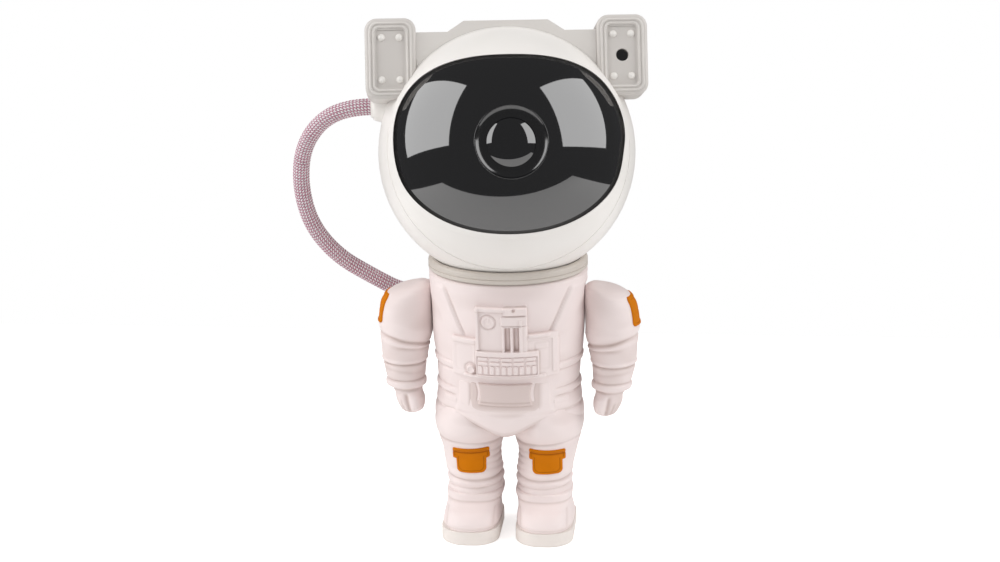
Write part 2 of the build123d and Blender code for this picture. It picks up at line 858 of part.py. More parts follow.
# Side pods: caps on the ball, open towards it, with a sunk panel held by four rivets
pod_rear = pod_face - pod_depth
recess_floor = pod_face - pod_recess_depth
panel_w = pod_w - 2 * pod_recess_inset
panel_h = pod_h - 2 * pod_recess_inset
panel_corner = pod_corner - pod_recess_inset
for side, name in sides:
    x = side * pod_x
    with BuildPart() as pod:
        with BuildSketch(facing(pod_rear, x, pod_z)):
            RectangleRounded(pod_w, pod_h, pod_corner)
        extrude(amount=pod_depth)
        fillet(pod.faces().sort_by(line_ahead())[-1].edges(), pod_edge)
        with BuildSketch(facing(pod_rear + pod_wall, x, pod_z)):
            RectangleRounded(pod_w - 2 * pod_wall, pod_h - 2 * pod_wall, pod_corner - pod_wall)
        extrude(amount=pod_depth - 2 * pod_wall - pod_recess_depth, mode=Mode.SUBTRACT)
        with BuildSketch(facing(pod_face, x, pod_z)):
            for inset in (pod_groove_inset, pod_groove_inset + pod_groove_width):
                ring_mode = Mode.ADD if inset == pod_groove_inset else Mode.SUBTRACT
                RectangleRounded(
                    pod_w - 2 * inset, pod_h - 2 * inset, pod_corner - inset, mode=ring_mode
                )
        extrude(amount=-pod_groove_depth, mode=Mode.SUBTRACT)
        with BuildSketch(facing(pod_face, x, pod_z)):
            RectangleRounded(panel_w, panel_h, panel_corner)
        extrude(amount=-pod_recess_depth, mode=Mode.SUBTRACT)
        with BuildSketch(facing(recess_floor, x, pod_z)):
            with GridLocations(2 * rivet_x, 2 * rivet_z, 2, 2):
                Circle(rivet_shank_r + small_hole_clear)
            if side > 0:
                Circle(aperture_r)
        extrude(amount=-pod_wall, mode=Mode.SUBTRACT)
        add(ball(helmet_r + glue_gap, crown_flat), mode=Mode.SUBTRACT)
    finish(pod.part, "ear_pod_" + name)

    with BuildPart() as panel:
        with BuildSketch(facing(recess_floor, x, pod_z)):
            RectangleRounded(panel_w - 2 * panel_gap, panel_h - 2 * panel_gap, panel_corner - panel_gap)
        extrude(amount=panel_thick + panel_rim_height)
        with BuildSketch(facing(recess_floor + panel_thick, x, pod_z)):
            Rectangle(panel_w - 2 * panel_rim, panel_h - 2 * panel_rim)
        extrude(amount=panel_rim_height, mode=Mode.SUBTRACT)
        with BuildSketch(facing(recess_floor, x, pod_z)):
            with GridLocations(2 * rivet_x, 2 * rivet_z, 2, 2):
                Circle(rivet_shank_r + small_hole_clear)
            if side > 0:
                Circle(aperture_r)
        extrude(amount=panel_thick, mode=Mode.SUBTRACT)
        add(ball(helmet_r + glue_gap), mode=Mode.SUBTRACT)
    finish(panel.part, "pod_panel_" + name)

    with BuildPart() as rivets:
        with BuildSketch(facing(recess_floor + panel_thick, x, pod_z)):
            with GridLocations(2 * rivet_x, 2 * rivet_z, 2, 2):
                Circle(rivet_head_r)
        extrude(amount=rivet_head_h)
        fillet(rivets.faces().group_by(line_ahead())[-1].edges(), rivet_round)
        with BuildSketch(facing(recess_floor + panel_thick, x, pod_z)):
            with GridLocations(2 * rivet_x, 2 * rivet_z, 2, 2):
                Circle(rivet_shank_r)
        extrude(amount=-rivet_shank)
    finish(rivets.part, "pod_rivets_" + name)

# Star projector in the right-hand pod: a laser in a flanged holder, with a grating before it
pod_wall_back = recess_floor - pod_wall
with BuildPart() as laser_holder:
    with BuildSketch(facing(pod_wall_back, pod_x, pod_z)):
        Circle(laser_flange_r)
    extrude(amount=-laser_flange_thick)
    with BuildSketch(facing(pod_wall_back, pod_x, pod_z)):
        Circle(laser_r + laser_gap + laser_holder_wall)
    extrude(amount=-laser_length)
    with BuildSketch(facing(pod_wall_back, pod_x, pod_z)):
        Circle(laser_r + laser_gap)
    extrude(amount=-laser_length, mode=Mode.SUBTRACT)
finish(laser_holder.part, "laser_holder")

with BuildPart() as star_grating:
    with BuildSketch(facing(pod_wall_back, pod_x, pod_z)):
        Circle(laser_r)
    extrude(amount=-grating_thick)
finish(star_grating.part, "star_grating")

with BuildPart() as laser_module:
    with BuildSketch(facing(pod_wall_back - grating_thick, pod_x, pod_z)):
        Circle(laser_r)
    extrude(amount=-laser_length)
finish(laser_module.part, "laser_module")

# Bridge: a bar across the crown between the pods, with a pad over the crown's flat
bridge_half = pod_x - pod_w / 2 - bridge_gap
with BuildPart() as top_bridge:
    with BuildSketch(facing(bridge_face)):
        with BuildLine():
            Polyline(
                (-bridge_half, bridge_low),
                (-bridge_half, bridge_shoulder),
                (-bridge_slope_half, bridge_shoulder),
                (-bridge_top_half, bridge_top),
                (bridge_top_half, bridge_top),
                (bridge_slope_half, bridge_shoulder),
                (bridge_half, bridge_shoulder),
                (bridge_half, bridge_low),
                close=True,
            )
        make_face()
    extrude(amount=-bridge_depth)
    with BuildSketch(facing(bridge_face)):
        with Locations((0, (bridge_low + bridge_top) / 2)):
            Rectangle(2 * bridge_top_half, bridge_top - bridge_low)
    extrude(amount=-bridge_pad_depth)
    add(ball(helmet_r + glue_gap, crown_flat + glue_gap), mode=Mode.SUBTRACT)
finish(top_bridge.part, "top_bridge")

# Neck ring: a spherical cup with a spigot and flange held under the suit's collar
bowl_r = helmet_r + seat_clear
with BuildPart() as neck_ring:
    with BuildSketch(Plane.XZ):
        with BuildLine():
            Polyline(
                (0, cup_floor),
                (spigot_r, cup_floor),
                (spigot_r, flange_top - flange_thick),
                (flange_r, flange_top - flange_thick),
                (flange_r, flange_top),
                (spigot_r, flange_top),
                (spigot_r, ring_bottom),
                (ring_r, ring_bottom),
                (ring_r, ring_top),
                (0, ring_top),
                close=True,
            )
        make_face()
    revolve(axis=Axis.Z)
    outer_rims = neck_ring.edges().filter_by(GeomType.CIRCLE).group_by(SortBy.LENGTH)[-1]
    fillet(outer_rims, ring_edge)
    with Locations((0, 0, head_height)):
        Sphere(bowl_r, mode=Mode.SUBTRACT)
    with BuildSketch(Plane.XY.offset(magnet_top - magnet_thick)):
        Circle(magnet_r + magnet_gap)
    extrude(amount=2 * magnet_thick, mode=Mode.SUBTRACT)
finish(neck_ring.part, "neck_ring")

with BuildPart() as neck_magnet:
    with BuildSketch(Plane.XY.offset(magnet_top)):
        Circle(magnet_r)
    extrude(amount=-magnet_thick)
finish(neck_magnet.part, "neck_magnet")

# Suit: body, legs and boots in one hollow form, split into a front and a back half
with BuildPart() as suit_form:
    add(torso(0))
    for side, name in sides:
        add(leg(side, 0))
        add(boot(side, 0))
    add(relief(unit_relief, -unit_half_w, unit_half_w, unit_bottom, unit_top))
    add(relief(tower_relief, -tower_half_w, tower_half_w, unit_bottom, tower_top))
    keypad_low_x = keypad_x - keypad_half_w
    keypad_high_x = keypad_x + keypad_half_w
    add(relief(keypad_relief, keypad_low_x, keypad_high_x, keypad_bottom, keypad_top))
    add(relief(pouch_relief, -pouch_half_w, pouch_half_w, pouch_bottom, pouch_top))
    add(relief(belt_relief, -shoulder_flat, shoulder_flat, belt_bottom, belt_top))

with BuildPart() as suit_hollow:
    add(torso(-suit_wall))
    split(bisect_by=Plane.XY.offset(crotch + suit_wall), keep=Keep.TOP)
    split(bisect_by=Plane.XY.offset(collar_top - collar_wall), keep=Keep.BOTTOM)
    for side, name in sides:
        add(leg(side, -suit_wall))
        add(boot(side, -suit_wall))
    with BuildSketch(Plane.XY.offset(collar_top)):
        Circle(spigot_r + spigot_clear)
    extrude(amount=-2 * collar_wall)

suit_spots = [(x, z) for x in (-suit_screw_x, suit_screw_x) for z in (suit_screw_low, suit_screw_high)]
with BuildPart() as suit_bosses:
    with BuildSketch(Plane.XZ):
        with Locations(*suit_spots):
            Circle(suit_boss_r)
    extrude(amount=helmet_r, both=True)
    add(torso(-suit_wall / 2), mode=Mode.INTERSECT)
with BuildPart() as suit_shell:
    add(suit_form.part)
    with BuildSketch(Plane.XY.offset(shoulder_flat_top)):
        Rectangle(4 * shoulder_flat, 4 * shoulder_flat)
        Rectangle(2 * shoulder_flat, 4 * shoulder_flat, mode=Mode.SUBTRACT)
    extrude(amount=-shoulder_flat_top, mode=Mode.SUBTRACT)
    add(suit_hollow.part, mode=Mode.SUBTRACT)
    add(suit_bosses.part)
    with BuildSketch(Plane.YZ.offset(-shoulder_flat)):
        with Locations((0, arm_spigot_z)):
            Circle(arm_spigot_r + arm_spigot_gap)
    extrude(amount=2 * shoulder_flat, mode=Mode.SUBTRACT)

with BuildPart() as suit_front:
    add(suit_shell.part)
    split(bisect_by=Plane.XZ, keep=Keep.TOP)
    with BuildSketch(Plane.XZ):
        with Locations(*suit_spots):
            Circle(screw_r - small_hole_clear)
    extrude(amount=screw_length - screw_head_y, mode=Mode.SUBTRACT)
    with BuildSketch(Plane.XZ.offset(knob_root)):
        with Locations((knob_x, knob_z)):
            Circle(knob_r)
    extrude(amount=knob_length)
finish(suit_front.part, "suit_front")

with BuildPart() as suit_back:
    add(suit_shell.part)
    split(bisect_by=Plane.XZ, keep=Keep.BOTTOM)
    with BuildSketch(Plane.XZ):
        with Locations(*suit_spots):
            Circle(screw_r + screw_hole_clear)
    extrude(amount=-helmet_r, mode=Mode.SUBTRACT)
    with BuildSketch(Plane.XZ.offset(-screw_head_y)):
        with Locations(*suit_spots):
            Circle(driver_r)
    extrude(amount=-helmet_r, mode=Mode.SUBTRACT)
finish(suit_back.part, "suit_back")

suit_screws = screw(
    Plane.XZ.offset(-screw_head_y), suit_spots, screw_r - small_hole_clear, screw_length,
    screw_head_r, screw_head_h,
)
finish(suit_screws, "suit_screws")

# Soles and boot weights
for side, name in sides:
    with BuildPart() as sole:
        with BuildSketch(Plane.XY):
            with Locations((side * boot_x, boot_y)):
                RectangleRounded(
                    boot_w + 2 * sole_proud, boot_length + 2 * sole_proud, boot_corner + sole_proud
                )
        extrude(amount=sole_height)
        fillet(sole.faces().sort_by(Axis.Z)[0].edges(), sole_edge)
        with BuildSketch(Plane.XY.offset(sole_height)):
            plug_inset = suit_wall + sole_plug_gap
            with Locations((side * boot_x, boot_y)):
                RectangleRounded(
                    boot_w - 2 * plug_inset, boot_length - 2 * plug_inset, boot_corner - plug_inset
                )
        extrude(amount=sole_plug)
    finish(sole.part, "sole_" + name)

    height, centre_x, half_w, half_d, centre_y = leg_sections[-1]
    with BuildPart() as weight:
        with BuildSketch(Plane.XY.offset(sole_height + sole_plug)):
            with Locations((side * centre_x, centre_y)):
                Ellipse(half_w - suit_wall - weight_gap, half_d - suit_wall - weight_gap)
        extrude(amount=weight_height)
    finish(weight.part, "boot_weight_" + name)

# Arms, with a spigot into the suit, and the coloured patches
for side, name in sides:
    arm_plane = Plane.YZ.offset(side * (shoulder_flat + arm_gap))
    with BuildPart() as arm_part:
        add(arm(side, 0))
        split(bisect_by=arm_plane, keep=Keep.TOP if side > 0 else Keep.BOTTOM)
        with BuildSketch(arm_plane):
            with Locations((0, arm_spigot_z)):
                Circle(arm_spigot_r)
        extrude(amount=-side * arm_spigot_length)
    finish(arm_part.part, "arm_" + name)

    patch_height = shoulder_patch_top - shoulder_patch_bottom
    with BuildPart() as shoulder_patch:
        add(arm(side, patch_thick))
        with BuildSketch(Plane.YZ.offset(side * shoulder_patch_in)):
            with Locations((0, (shoulder_patch_top + shoulder_patch_bottom) / 2)):
                Rectangle(2 * shoulder_patch_half_y, patch_height)
        extrude(amount=side * shoulder_patch_in, mode=Mode.INTERSECT)
        add(arm(side, patch_gap), mode=Mode.SUBTRACT)
    finish(shoulder_patch.part, "shoulder_patch_" + name)

    with BuildPart() as knee_patch:
        add(leg(side, patch_thick))
        with BuildSketch(Plane.XZ):
            with BuildLine():
                Polyline(
                    (side * knee_patch_x - knee_patch_w / 2, knee_patch_top),
                    (side * knee_patch_x + knee_patch_w / 2, knee_patch_top),
                    (side * knee_patch_x + knee_patch_w / 2, knee_patch_step),
                    (side * knee_patch_x + knee_patch_low_w / 2, knee_patch_step),
                    (side * knee_patch_x + knee_patch_low_w / 2, knee_patch_bottom),
                    (side * knee_patch_x - knee_patch_low_w / 2, knee_patch_bottom),
                    (side * knee_patch_x - knee_patch_low_w / 2, knee_patch_step),
                    (side * knee_patch_x - knee_patch_w / 2, knee_patch_step),
                    close=True,
                )
            make_face()
        extrude(amount=2 * shoulder_flat, mode=Mode.INTERSECT)
        add(leg(side, patch_gap), mode=Mode.SUBTRACT)
    finish(knee_patch.part, "knee_patch_" + name)

# Back pack: a hollow box on the suit's back, closed by a screwed cover
pack_h = pack_high - pack_low
pack_z = (pack_high + pack_low) / 2
cover_front = pack_rear - cover_thick
cover_spots = [(x, z) for x in (-cover_screw_x, cover_screw_x) for z in (cover_screw_low, cover_screw_high)]
with BuildPart() as backpack:
    with BuildSketch(Plane.XZ.offset(-pack_root)):
        with Locations((0, pack_z)):
            RectangleRounded(2 * pack_half_w, pack_h, pack_round)
    extrude(amount=pack_root - cover_front)
    with BuildSketch(Plane.XZ.offset(-pack_root)):
        with Locations((0, pack_z)):
            inner_w = 2 * (pack_half_w - pack_wall)
            RectangleRounded(inner_w, pack_h - 2 * pack_wall, pack_round - pack_wall)
    inner = extrude(amount=pack_root - cover_front, mode=Mode.PRIVATE)
    add(inner - torso(pack_wall), mode=Mode.SUBTRACT)
    with BuildSketch(Plane.XZ.offset(-pack_root)):
        with Locations(*cover_spots):
            Circle(cover_boss_r)
    extrude(amount=pack_root - cover_front)
    with BuildSketch(Plane.XZ.offset(-cover_front)):
        with Locations(*cover_spots):
            Circle(pilot_r)
    extrude(amount=small_screw_grip + small_head_h, mode=Mode.SUBTRACT)
    with BuildSketch(Plane.YZ.offset(-pack_half_w)):
        with Locations((port_y, port_z)):
            Circle(gland_neck_r + gland_hole_clear)
    extrude(amount=pack_half_w - port_in, mode=Mode.SUBTRACT)
    add(torso(glue_gap), mode=Mode.SUBTRACT)
finish(backpack.part, "backpack")

with BuildPart() as pack_cover:
    with BuildSketch(Plane.XZ.offset(-cover_front)):
        with Locations((0, pack_z)):
            RectangleRounded(2 * pack_half_w, pack_h, pack_round)
        with Locations(*cover_spots):
            Circle(small_screw_r + small_hole_clear, mode=Mode.SUBTRACT)
    extrude(amount=-cover_thick)
    cover_rims = pack_cover.faces().sort_by(Axis.Y)[-1].outer_wire().edges()
    fillet(cover_rims, cover_edge)
    with BuildSketch(Plane.XZ.offset(-pack_rear)):
        with Locations(*cover_spots):
            Circle(small_head_r + small_hole_clear)
    extrude(amount=small_head_h, mode=Mode.SUBTRACT)
finish(pack_cover.part, "pack_cover")

cover_screw_plane = Plane.XZ.offset(small_head_h - pack_rear)
cover_grip = cover_thick - small_head_h + small_screw_grip
cover_screws = screw(
    cover_screw_plane, cover_spots, small_screw_r, cover_grip, small_head_r, small_head_h
)
finish(cover_screws, "cover_screws")

# Hose fittings: a gland through the helmet's shell and a port in the pack's side
with BuildPart() as hose_gland:
    with BuildSketch(Plane(origin=in_head(-gland_in, -gland_y, gland_z), z_dir=across * -1)):
        Circle(gland_r)
    extrude(amount=gland_collar_out - gland_in)
    add(ball(helmet_r + glue_gap), mode=Mode.SUBTRACT)
    with BuildSketch(Plane(origin=in_head(-gland_in, -gland_y, gland_z), z_dir=across * -1)):
        Circle(gland_neck_r)
    extrude(amount=gland_out - gland_in)
finish(hose_gland.part, "hose_gland")

with BuildPart() as hose_port:
    with BuildSketch(Plane.YZ.offset(-pack_half_w)):
        with Locations((port_y, port_z)):
            Circle(port_flange_r)
    extrude(amount=-port_flange_thick)
    with BuildSketch(Plane.YZ.offset(-port_in)):
        with Locations((port_y, port_z)):
            Circle(gland_neck_r)
    extrude(amount=port_in - port_out)
finish(hose_port.part, "hose_port")

# Hose: straight runs joined by tangent arcs
hose_from = in_head(-gland_out, -gland_y, gland_z)
hose_to = Vector(-port_out, port_y, port_z)
route = [hose_from, hose_from - across * hose_start]
route += [Vector(*point) for point in hose_points]
route += [hose_to - Vector(hose_end, 0, 0), hose_to]
runs = [(route[i + 1] - route[i]).length for i in range(len(route) - 1)]
radii = []
for i in range(1, len(route) - 1):
    bend = (route[i] - route[i - 1]).get_angle(route[i + 1] - route[i])
    radii.append(bend_share * min(runs[i - 1], runs[i]) / math.tan(math.radians(bend / 2)))
print("hose runs", [round(run, 1) for run in runs])
print("hose radii", [round(radius, 1) for radius in radii])
with BuildPart() as hose:
    with BuildLine() as hose_line:
        FilletPolyline(*route, radius=radii)
    with BuildSketch(Plane(origin=hose_from, z_dir=across * -1)):
        Circle(hose_r)
    sweep(path=hose_line.wires()[0])
hose_length = hose_line.wires()[0].length
hose_volume = math.pi * hose_r**2 * hose_length
print("hose length", hose_length, "volume ratio", hose.part.volume / hose_volume)
finish(hose.part, "hose")
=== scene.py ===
import math

import bmesh
import bpy
import numpy as np
from mathutils import Matrix, Vector


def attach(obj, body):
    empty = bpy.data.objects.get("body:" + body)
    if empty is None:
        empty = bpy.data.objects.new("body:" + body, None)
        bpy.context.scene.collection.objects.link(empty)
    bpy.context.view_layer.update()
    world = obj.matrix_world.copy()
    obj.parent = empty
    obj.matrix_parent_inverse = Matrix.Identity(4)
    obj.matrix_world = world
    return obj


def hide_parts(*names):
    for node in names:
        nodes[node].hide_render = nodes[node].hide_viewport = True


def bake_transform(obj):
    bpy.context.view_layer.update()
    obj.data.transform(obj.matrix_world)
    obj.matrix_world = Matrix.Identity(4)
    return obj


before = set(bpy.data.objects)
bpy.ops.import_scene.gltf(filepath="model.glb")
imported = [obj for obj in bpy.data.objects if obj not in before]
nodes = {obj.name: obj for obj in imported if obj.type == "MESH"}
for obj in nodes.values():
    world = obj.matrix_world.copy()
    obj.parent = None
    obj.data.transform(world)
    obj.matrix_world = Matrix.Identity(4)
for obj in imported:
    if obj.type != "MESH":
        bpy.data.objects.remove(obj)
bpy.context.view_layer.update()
scene = bpy.context.scene
scene.view_settings.view_transform = "Standard"
mm = 0.001

# Camera: a short telephoto a little above the figure and to its left
cameraView = {
    "aim": (-3.6, 0.0, 111.9),
    "distance": 950.0,
    "elevation": 15.1,
    "azimuth": 5.6,
    "lean": -0.7,
    "lens": 79.45,
}


def placeCamera():
    side, rise, lean = (math.radians(cameraView[key]) for key in ("azimuth", "elevation", "lean"))
    away = Vector((math.sin(side) * math.cos(rise), -math.cos(side) * math.cos(rise), math.sin(rise)))
    right = (-away).cross(Vector((0, 0, 1))).normalized()
    turned = right * math.cos(lean) + away.cross(right) * math.sin(lean)
    camera = bpy.data.objects.new("camera", bpy.data.cameras.new("camera"))
    scene.collection.objects.link(camera)
    camera.matrix_world = Matrix((turned, away.cross(turned), away)).transposed().to_4x4()
    camera.location = (Vector(cameraView["aim"]) + away * cameraView["distance"]) * mm
    camera.data.lens = cameraView["lens"]
    camera.data.sensor_width = 36
    camera.data.clip_start = 0.05
    camera.data.clip_end = 20
    scene.camera = camera


placeCamera()
print("camera placed")


def srgb(code):
    values = [int(code[i:i + 2], 16) / 255 for i in (1, 3, 5)]
    return [v / 12.92 if v <= 0.04045 else ((v + 0.055) / 1.055) ** 2.4 for v in values] + [1.0]


def fillSocket(socket, value):
    # a colour is given by its hex code
    socket.default_value = srgb(value) if isinstance(value, str) else value


def addNode(tree, kind, settings=None, values=None, links=None):
    node = tree.nodes.new(kind)
    for name, value in (settings or {}).items():
        setattr(node, name, value)
    for name, value in (values or {}).items():
        fillSocket(node.inputs[name], value)
    for name, source in (links or {}).items():
        tree.links.new(source, node.inputs[name])
    return node


def newMaterial(name, values):
    material = bpy.data.materials.new(name)
    material.use_nodes = True
    shader = material.node_tree.nodes["Principled BSDF"]
    for name, value in values.items():
        fillSocket(shader.inputs[name], value)
    return material, material.node_tree, shader


def unevenness(tree, size, detail=2.0, stretch=None):
    # soft noise fixed to the piece, its spots a given size in mm
    place = addNode(tree, "ShaderNodeTexCoord").outputs["Object"]
    if stretch:
        mapping = addNode(tree, "ShaderNodeMapping", values={"Scale": stretch}, links={"Vector": place})
        place = mapping.outputs["Vector"]
    noise = addNode(tree, "ShaderNodeTexNoise", values={"Scale": 1000 / size, "Detail": detail},
                    links={"Vector": place})
    return noise.outputs["Fac"]


def addHaze(tree, shader, size, low, high, stretch=None):
    # roughness that drifts between two values
    spread = addNode(tree, "ShaderNodeMapRange", values={"To Min": low, "To Max": high},
                     links={"Value": unevenness(tree, size, stretch=stretch)})
    tree.links.new(spread.outputs["Result"], shader.inputs["Roughness"])


def addGrain(tree, shader, size, depth, strength, detail=2.0):
    # a fine relief, its depth in mm
    bump = addNode(tree, "ShaderNodeBump", values={"Strength": strength, "Distance": depth * mm},
                   links={"Height": unevenness(tree, size, detail)})
    tree.links.new(bump.outputs["Normal"], shader.inputs["Normal"])


# Injection-moulded plastics. Tone and shade are the two ends of the colour's slow drift,
# drift and grain are sizes in mm, and relief is the depth of the mould's fine texture in mm.
# crease is the colour of the painted shade that the crease attribute mixes into the folds
plastics = {
    # satin ABS, sprayed white: a soft broad highlight on the ball
    "helmetSatinAbs": dict(tone="#f3f0ed", shade="#ebe7e2", rough=0.36, drift=26, grain=0.35, relief=0.006),
    # matt ABS, sprayed a warm white: no hard highlight, so the folds read, and painted shade darkens them
    "suitMattAbs": dict(tone="#f1e4e2", shade="#e9dbd9", rough=0.55, drift=14, grain=0.45, relief=0.012,
                        crease="#b9a39b"),
    # fine-grained ABS left as moulded, a warm light grey
    "trimGreyAbs": dict(tone="#d6d1cd", shade="#cec9c4", rough=0.42, drift=18, grain=0.4, relief=0.010),
    # the same plastic on the bar and the pods' frames, painted a touch lighter: a lit copy of the trim grey
    "trimGreyPaintedLighter": dict(tone="#dfdbd6", shade="#d7d2ce", rough=0.42, drift=18, grain=0.4, relief=0.010),
    # polished by the mould on the rivets' heads, so they are glossier, and tinted lighter as a painted
    # highlight
    "rivetGreyPaintedHighlight": dict(tone="#f1eeea", shade="#e8e4df", rough=0.28, drift=18, grain=0.4, relief=0.004),
    # the cup ring: beige-grey ABS
    "ringBeigeAbs": dict(tone="#d2cac2", shade="#c9c0b7", rough=0.45, drift=12, grain=0.4, relief=0.010),
    # soft thermoplastic rubber, which looks a shade greyer and duller
    "soleRubber": dict(tone="#ece5e0", shade="#e4dcd6", rough=0.7, drift=9, grain=0.6, relief=0.02),
    # black acetal and nylon inside the head
    "blackNylon": dict(tone="#1c1c1e", shade="#141416", rough=0.5, drift=10, grain=0.4, relief=0.01),
    # push-button ABS, light grey
    "buttonAbs": dict(tone="#c9c3be", shade="#bfb8b3", rough=0.4, drift=5, grain=0.4, relief=0.008),
}


def mouldedPlastic(name, look):
    material, tree, shader = newMaterial(name, {"Roughness": look["rough"], "IOR": 1.53})
    tone = addNode(tree, "ShaderNodeMix", {"data_type": "RGBA"}, {"A": look["shade"], "B": look["tone"]},
                   {"Factor": unevenness(tree, look["drift"])})
    # painted shade: the crease attribute darkens the colour towards the crease tone in folds, grooves and
    # under overhangs
    if "crease" in look:
        fold = addNode(tree, "ShaderNodeAttribute", {"attribute_name": "crease"})
        tone = addNode(tree, "ShaderNodeMix", {"data_type": "RGBA"}, {"B": look["crease"]},
                       {"Factor": fold.outputs["Fac"], "A": tone.outputs["Result"]})
    tree.links.new(tone.outputs["Result"], shader.inputs["Base Color"])
    addGrain(tree, shader, look["grain"], look["relief"], 0.8, 3.0)
    return material


def blackAcrylic(name, low, high, rough, ior):
    # tinted acrylic with a thin metallised skin: near black, and it mirrors the lamps
    material, tree, shader = newMaterial(name, {"Roughness": rough, "IOR": ior})
    tone = addNode(tree, "ShaderNodeMix", {"data_type": "RGBA"}, {"A": low, "B": high},
                   {"Factor": unevenness(tree, 100 / 3)})
    tree.links.new(tone.outputs["Result"], shader.inputs["Base Color"])
    return material


def glossBlack(name, tone, rough, ior):
    # polished black: the ring is lacquered ABS; on the lens the near-black colour is painted shade, for the
    # dark barrel seen through its glass
    material, tree, shader = newMaterial(name, {"Base Color": tone, "IOR": ior})
    addHaze(tree, shader, 25 / 3, rough * 0.7, rough * 1.4)
    return material


def castResin(name, tone, rough):
    # the circuit board's solder mask and the emitters' phosphor: coloured resin with a fine grain
    material, tree, shader = newMaterial(name, {"Base Color": tone, "Roughness": rough, "IOR": 1.53})
    addGrain(tree, shader, 0.4, 0.01, 0.5)
    return material


def orangePrint(name, low, high, border, ribs):
    # orange thermoplastic patch, textured like a woven badge, with painted shade along its sewn border and
    # its fold;
    # the ribs are coarser than a cloth's, so that they show
    material, tree, shader = newMaterial(name, {"Roughness": 0.65, "IOR": 1.45, "Specular IOR Level": 0.12})
    tone = addNode(tree, "ShaderNodeMix", {"data_type": "RGBA"}, {"A": low, "B": high},
                   {"Factor": unevenness(tree, 6.25, 3.0)})
    borderShade = addNode(tree, "ShaderNodeAttribute", {"attribute_name": "crease"})
    edged = addNode(tree, "ShaderNodeMix", {"data_type": "RGBA"}, {"B": border},
                    {"Factor": borderShade.outputs["Fac"], "A": tone.outputs["Result"]})
    tree.links.new(edged.outputs["Result"], shader.inputs["Base Color"])
    place = addNode(tree, "ShaderNodeTexCoord").outputs["Object"]
    # a wave texture's own length, in metres at a scale of one
    waveLength = 2 * math.pi / 20
    across, up = [addNode(tree, "ShaderNodeTexWave", {"bands_direction": way, "wave_profile": "SIN"},
                          {"Scale": waveLength / (ribs * mm), "Distortion": 0.6}, {"Vector": place})
                  for way in ("X", "Z")]
    weave = addNode(tree, "ShaderNodeMath", {"operation": "MULTIPLY"},
                    links={0: across.outputs["Fac"], 1: up.outputs["Fac"]})
    bump = addNode(tree, "ShaderNodeBump", values={"Strength": 0.6, "Distance": 0.08 * mm},
                   links={"Height": weave.outputs["Value"]})
    tree.links.new(bump.outputs["Normal"], shader.inputs["Normal"])
    return material


def braidedSleeve(name, pale, crimson, core):
    # white and crimson yarns braided over a dark hose, under a thin clear skin that greys its outer side
    material, tree, shader = newMaterial(name, {
        "Roughness": 0.6, "IOR": 1.5, "Coat Weight": 0.5, "Coat Roughness": 0.3,
    })
    strand, family = [addNode(tree, "ShaderNodeAttribute", {"attribute_name": key}).outputs["Fac"]
                      for key in ("strand", "family")]
    yarn = addNode(tree, "ShaderNodeMix", {"data_type": "RGBA"}, {"A": pale, "B": crimson},
                   {"Factor": family})
    sleeve = addNode(tree, "ShaderNodeMix", {"data_type": "RGBA"}, {"A": core},
                     {"Factor": strand, "B": yarn.outputs["Result"]})
    tree.links.new(sleeve.outputs["Result"], shader.inputs["Base Color"])
    addGrain(tree, shader, 0.25, 0.04, 0.6)
    return material


def metalFinish(name, tone, rough, streak):
    # bare or plated metal, drawn or turned, with fine streaks that break up its reflections
    material, tree, shader = newMaterial(name, {"Base Color": tone, "Metallic": 1.0, "Roughness": rough})
    addHaze(tree, shader, streak, rough * 0.8, rough * 1.3, stretch=(1.0, 1.0, 12.0))
    return material


def clearPart(name, tone, rough, ior):
    # optical acrylic or glass; what lies behind it is dark
    material, tree, shader = newMaterial(name, {
        "Base Color": tone, "Roughness": rough, "IOR": ior, "Transmission Weight": 1.0,
    })
    addHaze(tree, shader, 12.5, rough, rough + 0.02)
    return material


finishes = {name: mouldedPlastic(name, look) for name, look in plastics.items()}
for make, name, *look in (
    (blackAcrylic, "visorBlackAcrylic", "#0e0e10", "#121214", 0.04, 2.3),
    (glossBlack, "bezelBlackAbs", "#111113", 0.14, 2.1),
    (glossBlack, "lensGlass", "#0b0b0e", 0.02, 2.3),
    (castResin, "boardGreen", "#1d5a34", 0.4),
    (castResin, "ledPhosphor", "#d9c04a", 0.5),
    (orangePrint, "patchOrange", "#c56f00", "#d27a00", "#8f4a05", 4.398),
    (braidedSleeve, "hoseBraid", "#e6e1e4", "#b8748a", "#381a26"),
    (metalFinish, "platedSteel", "#c8c8cb", 0.3, 0.4),
    (metalFinish, "castIron", "#6f6c6a", 0.55, 0.8),
    (metalFinish, "sinkAluminium", "#cfd1d3", 0.38, 0.5),
    (metalFinish, "brass", "#cfa862", 0.3, 0.4),
    (clearPart, "clearAcrylic", "#f4f6f8", 0.02, 1.49),
):
    finishes[name] = make(name, *look)

slotFinish = {
    "shell_white": "helmetSatinAbs", "visor_black": "visorBlackAcrylic", "bezel_black": "bezelBlackAbs",
    "lens_glass": "lensGlass", "trim_grey": "trimGreyAbs", "suit_white": "suitMattAbs",
    "patch_orange": "patchOrange", "sole_rubber": "soleRubber", "hose_braid": "hoseBraid",
    "ring_beige": "ringBeigeAbs", "magnet_steel": "platedSteel", "catch_steel": "platedSteel",
    "frame_black": "blackNylon", "board_green": "boardGreen", "emitter_yellow": "ledPhosphor",
    "sink_aluminium": "sinkAluminium", "clear_glass": "clearAcrylic", "motor_steel": "platedSteel",
    "shaft_steel": "platedSteel", "screw_steel": "platedSteel", "laser_brass": "brass",
    "usb_steel": "platedSteel", "switch_black": "blackNylon", "button_grey": "buttonAbs",
    "weight_iron": "castIron",
}
for node in nodes.values():
    for slot in node.material_slots:
        slot.material = finishes[slotFinish[slot.material.name.split(".")[0]]]
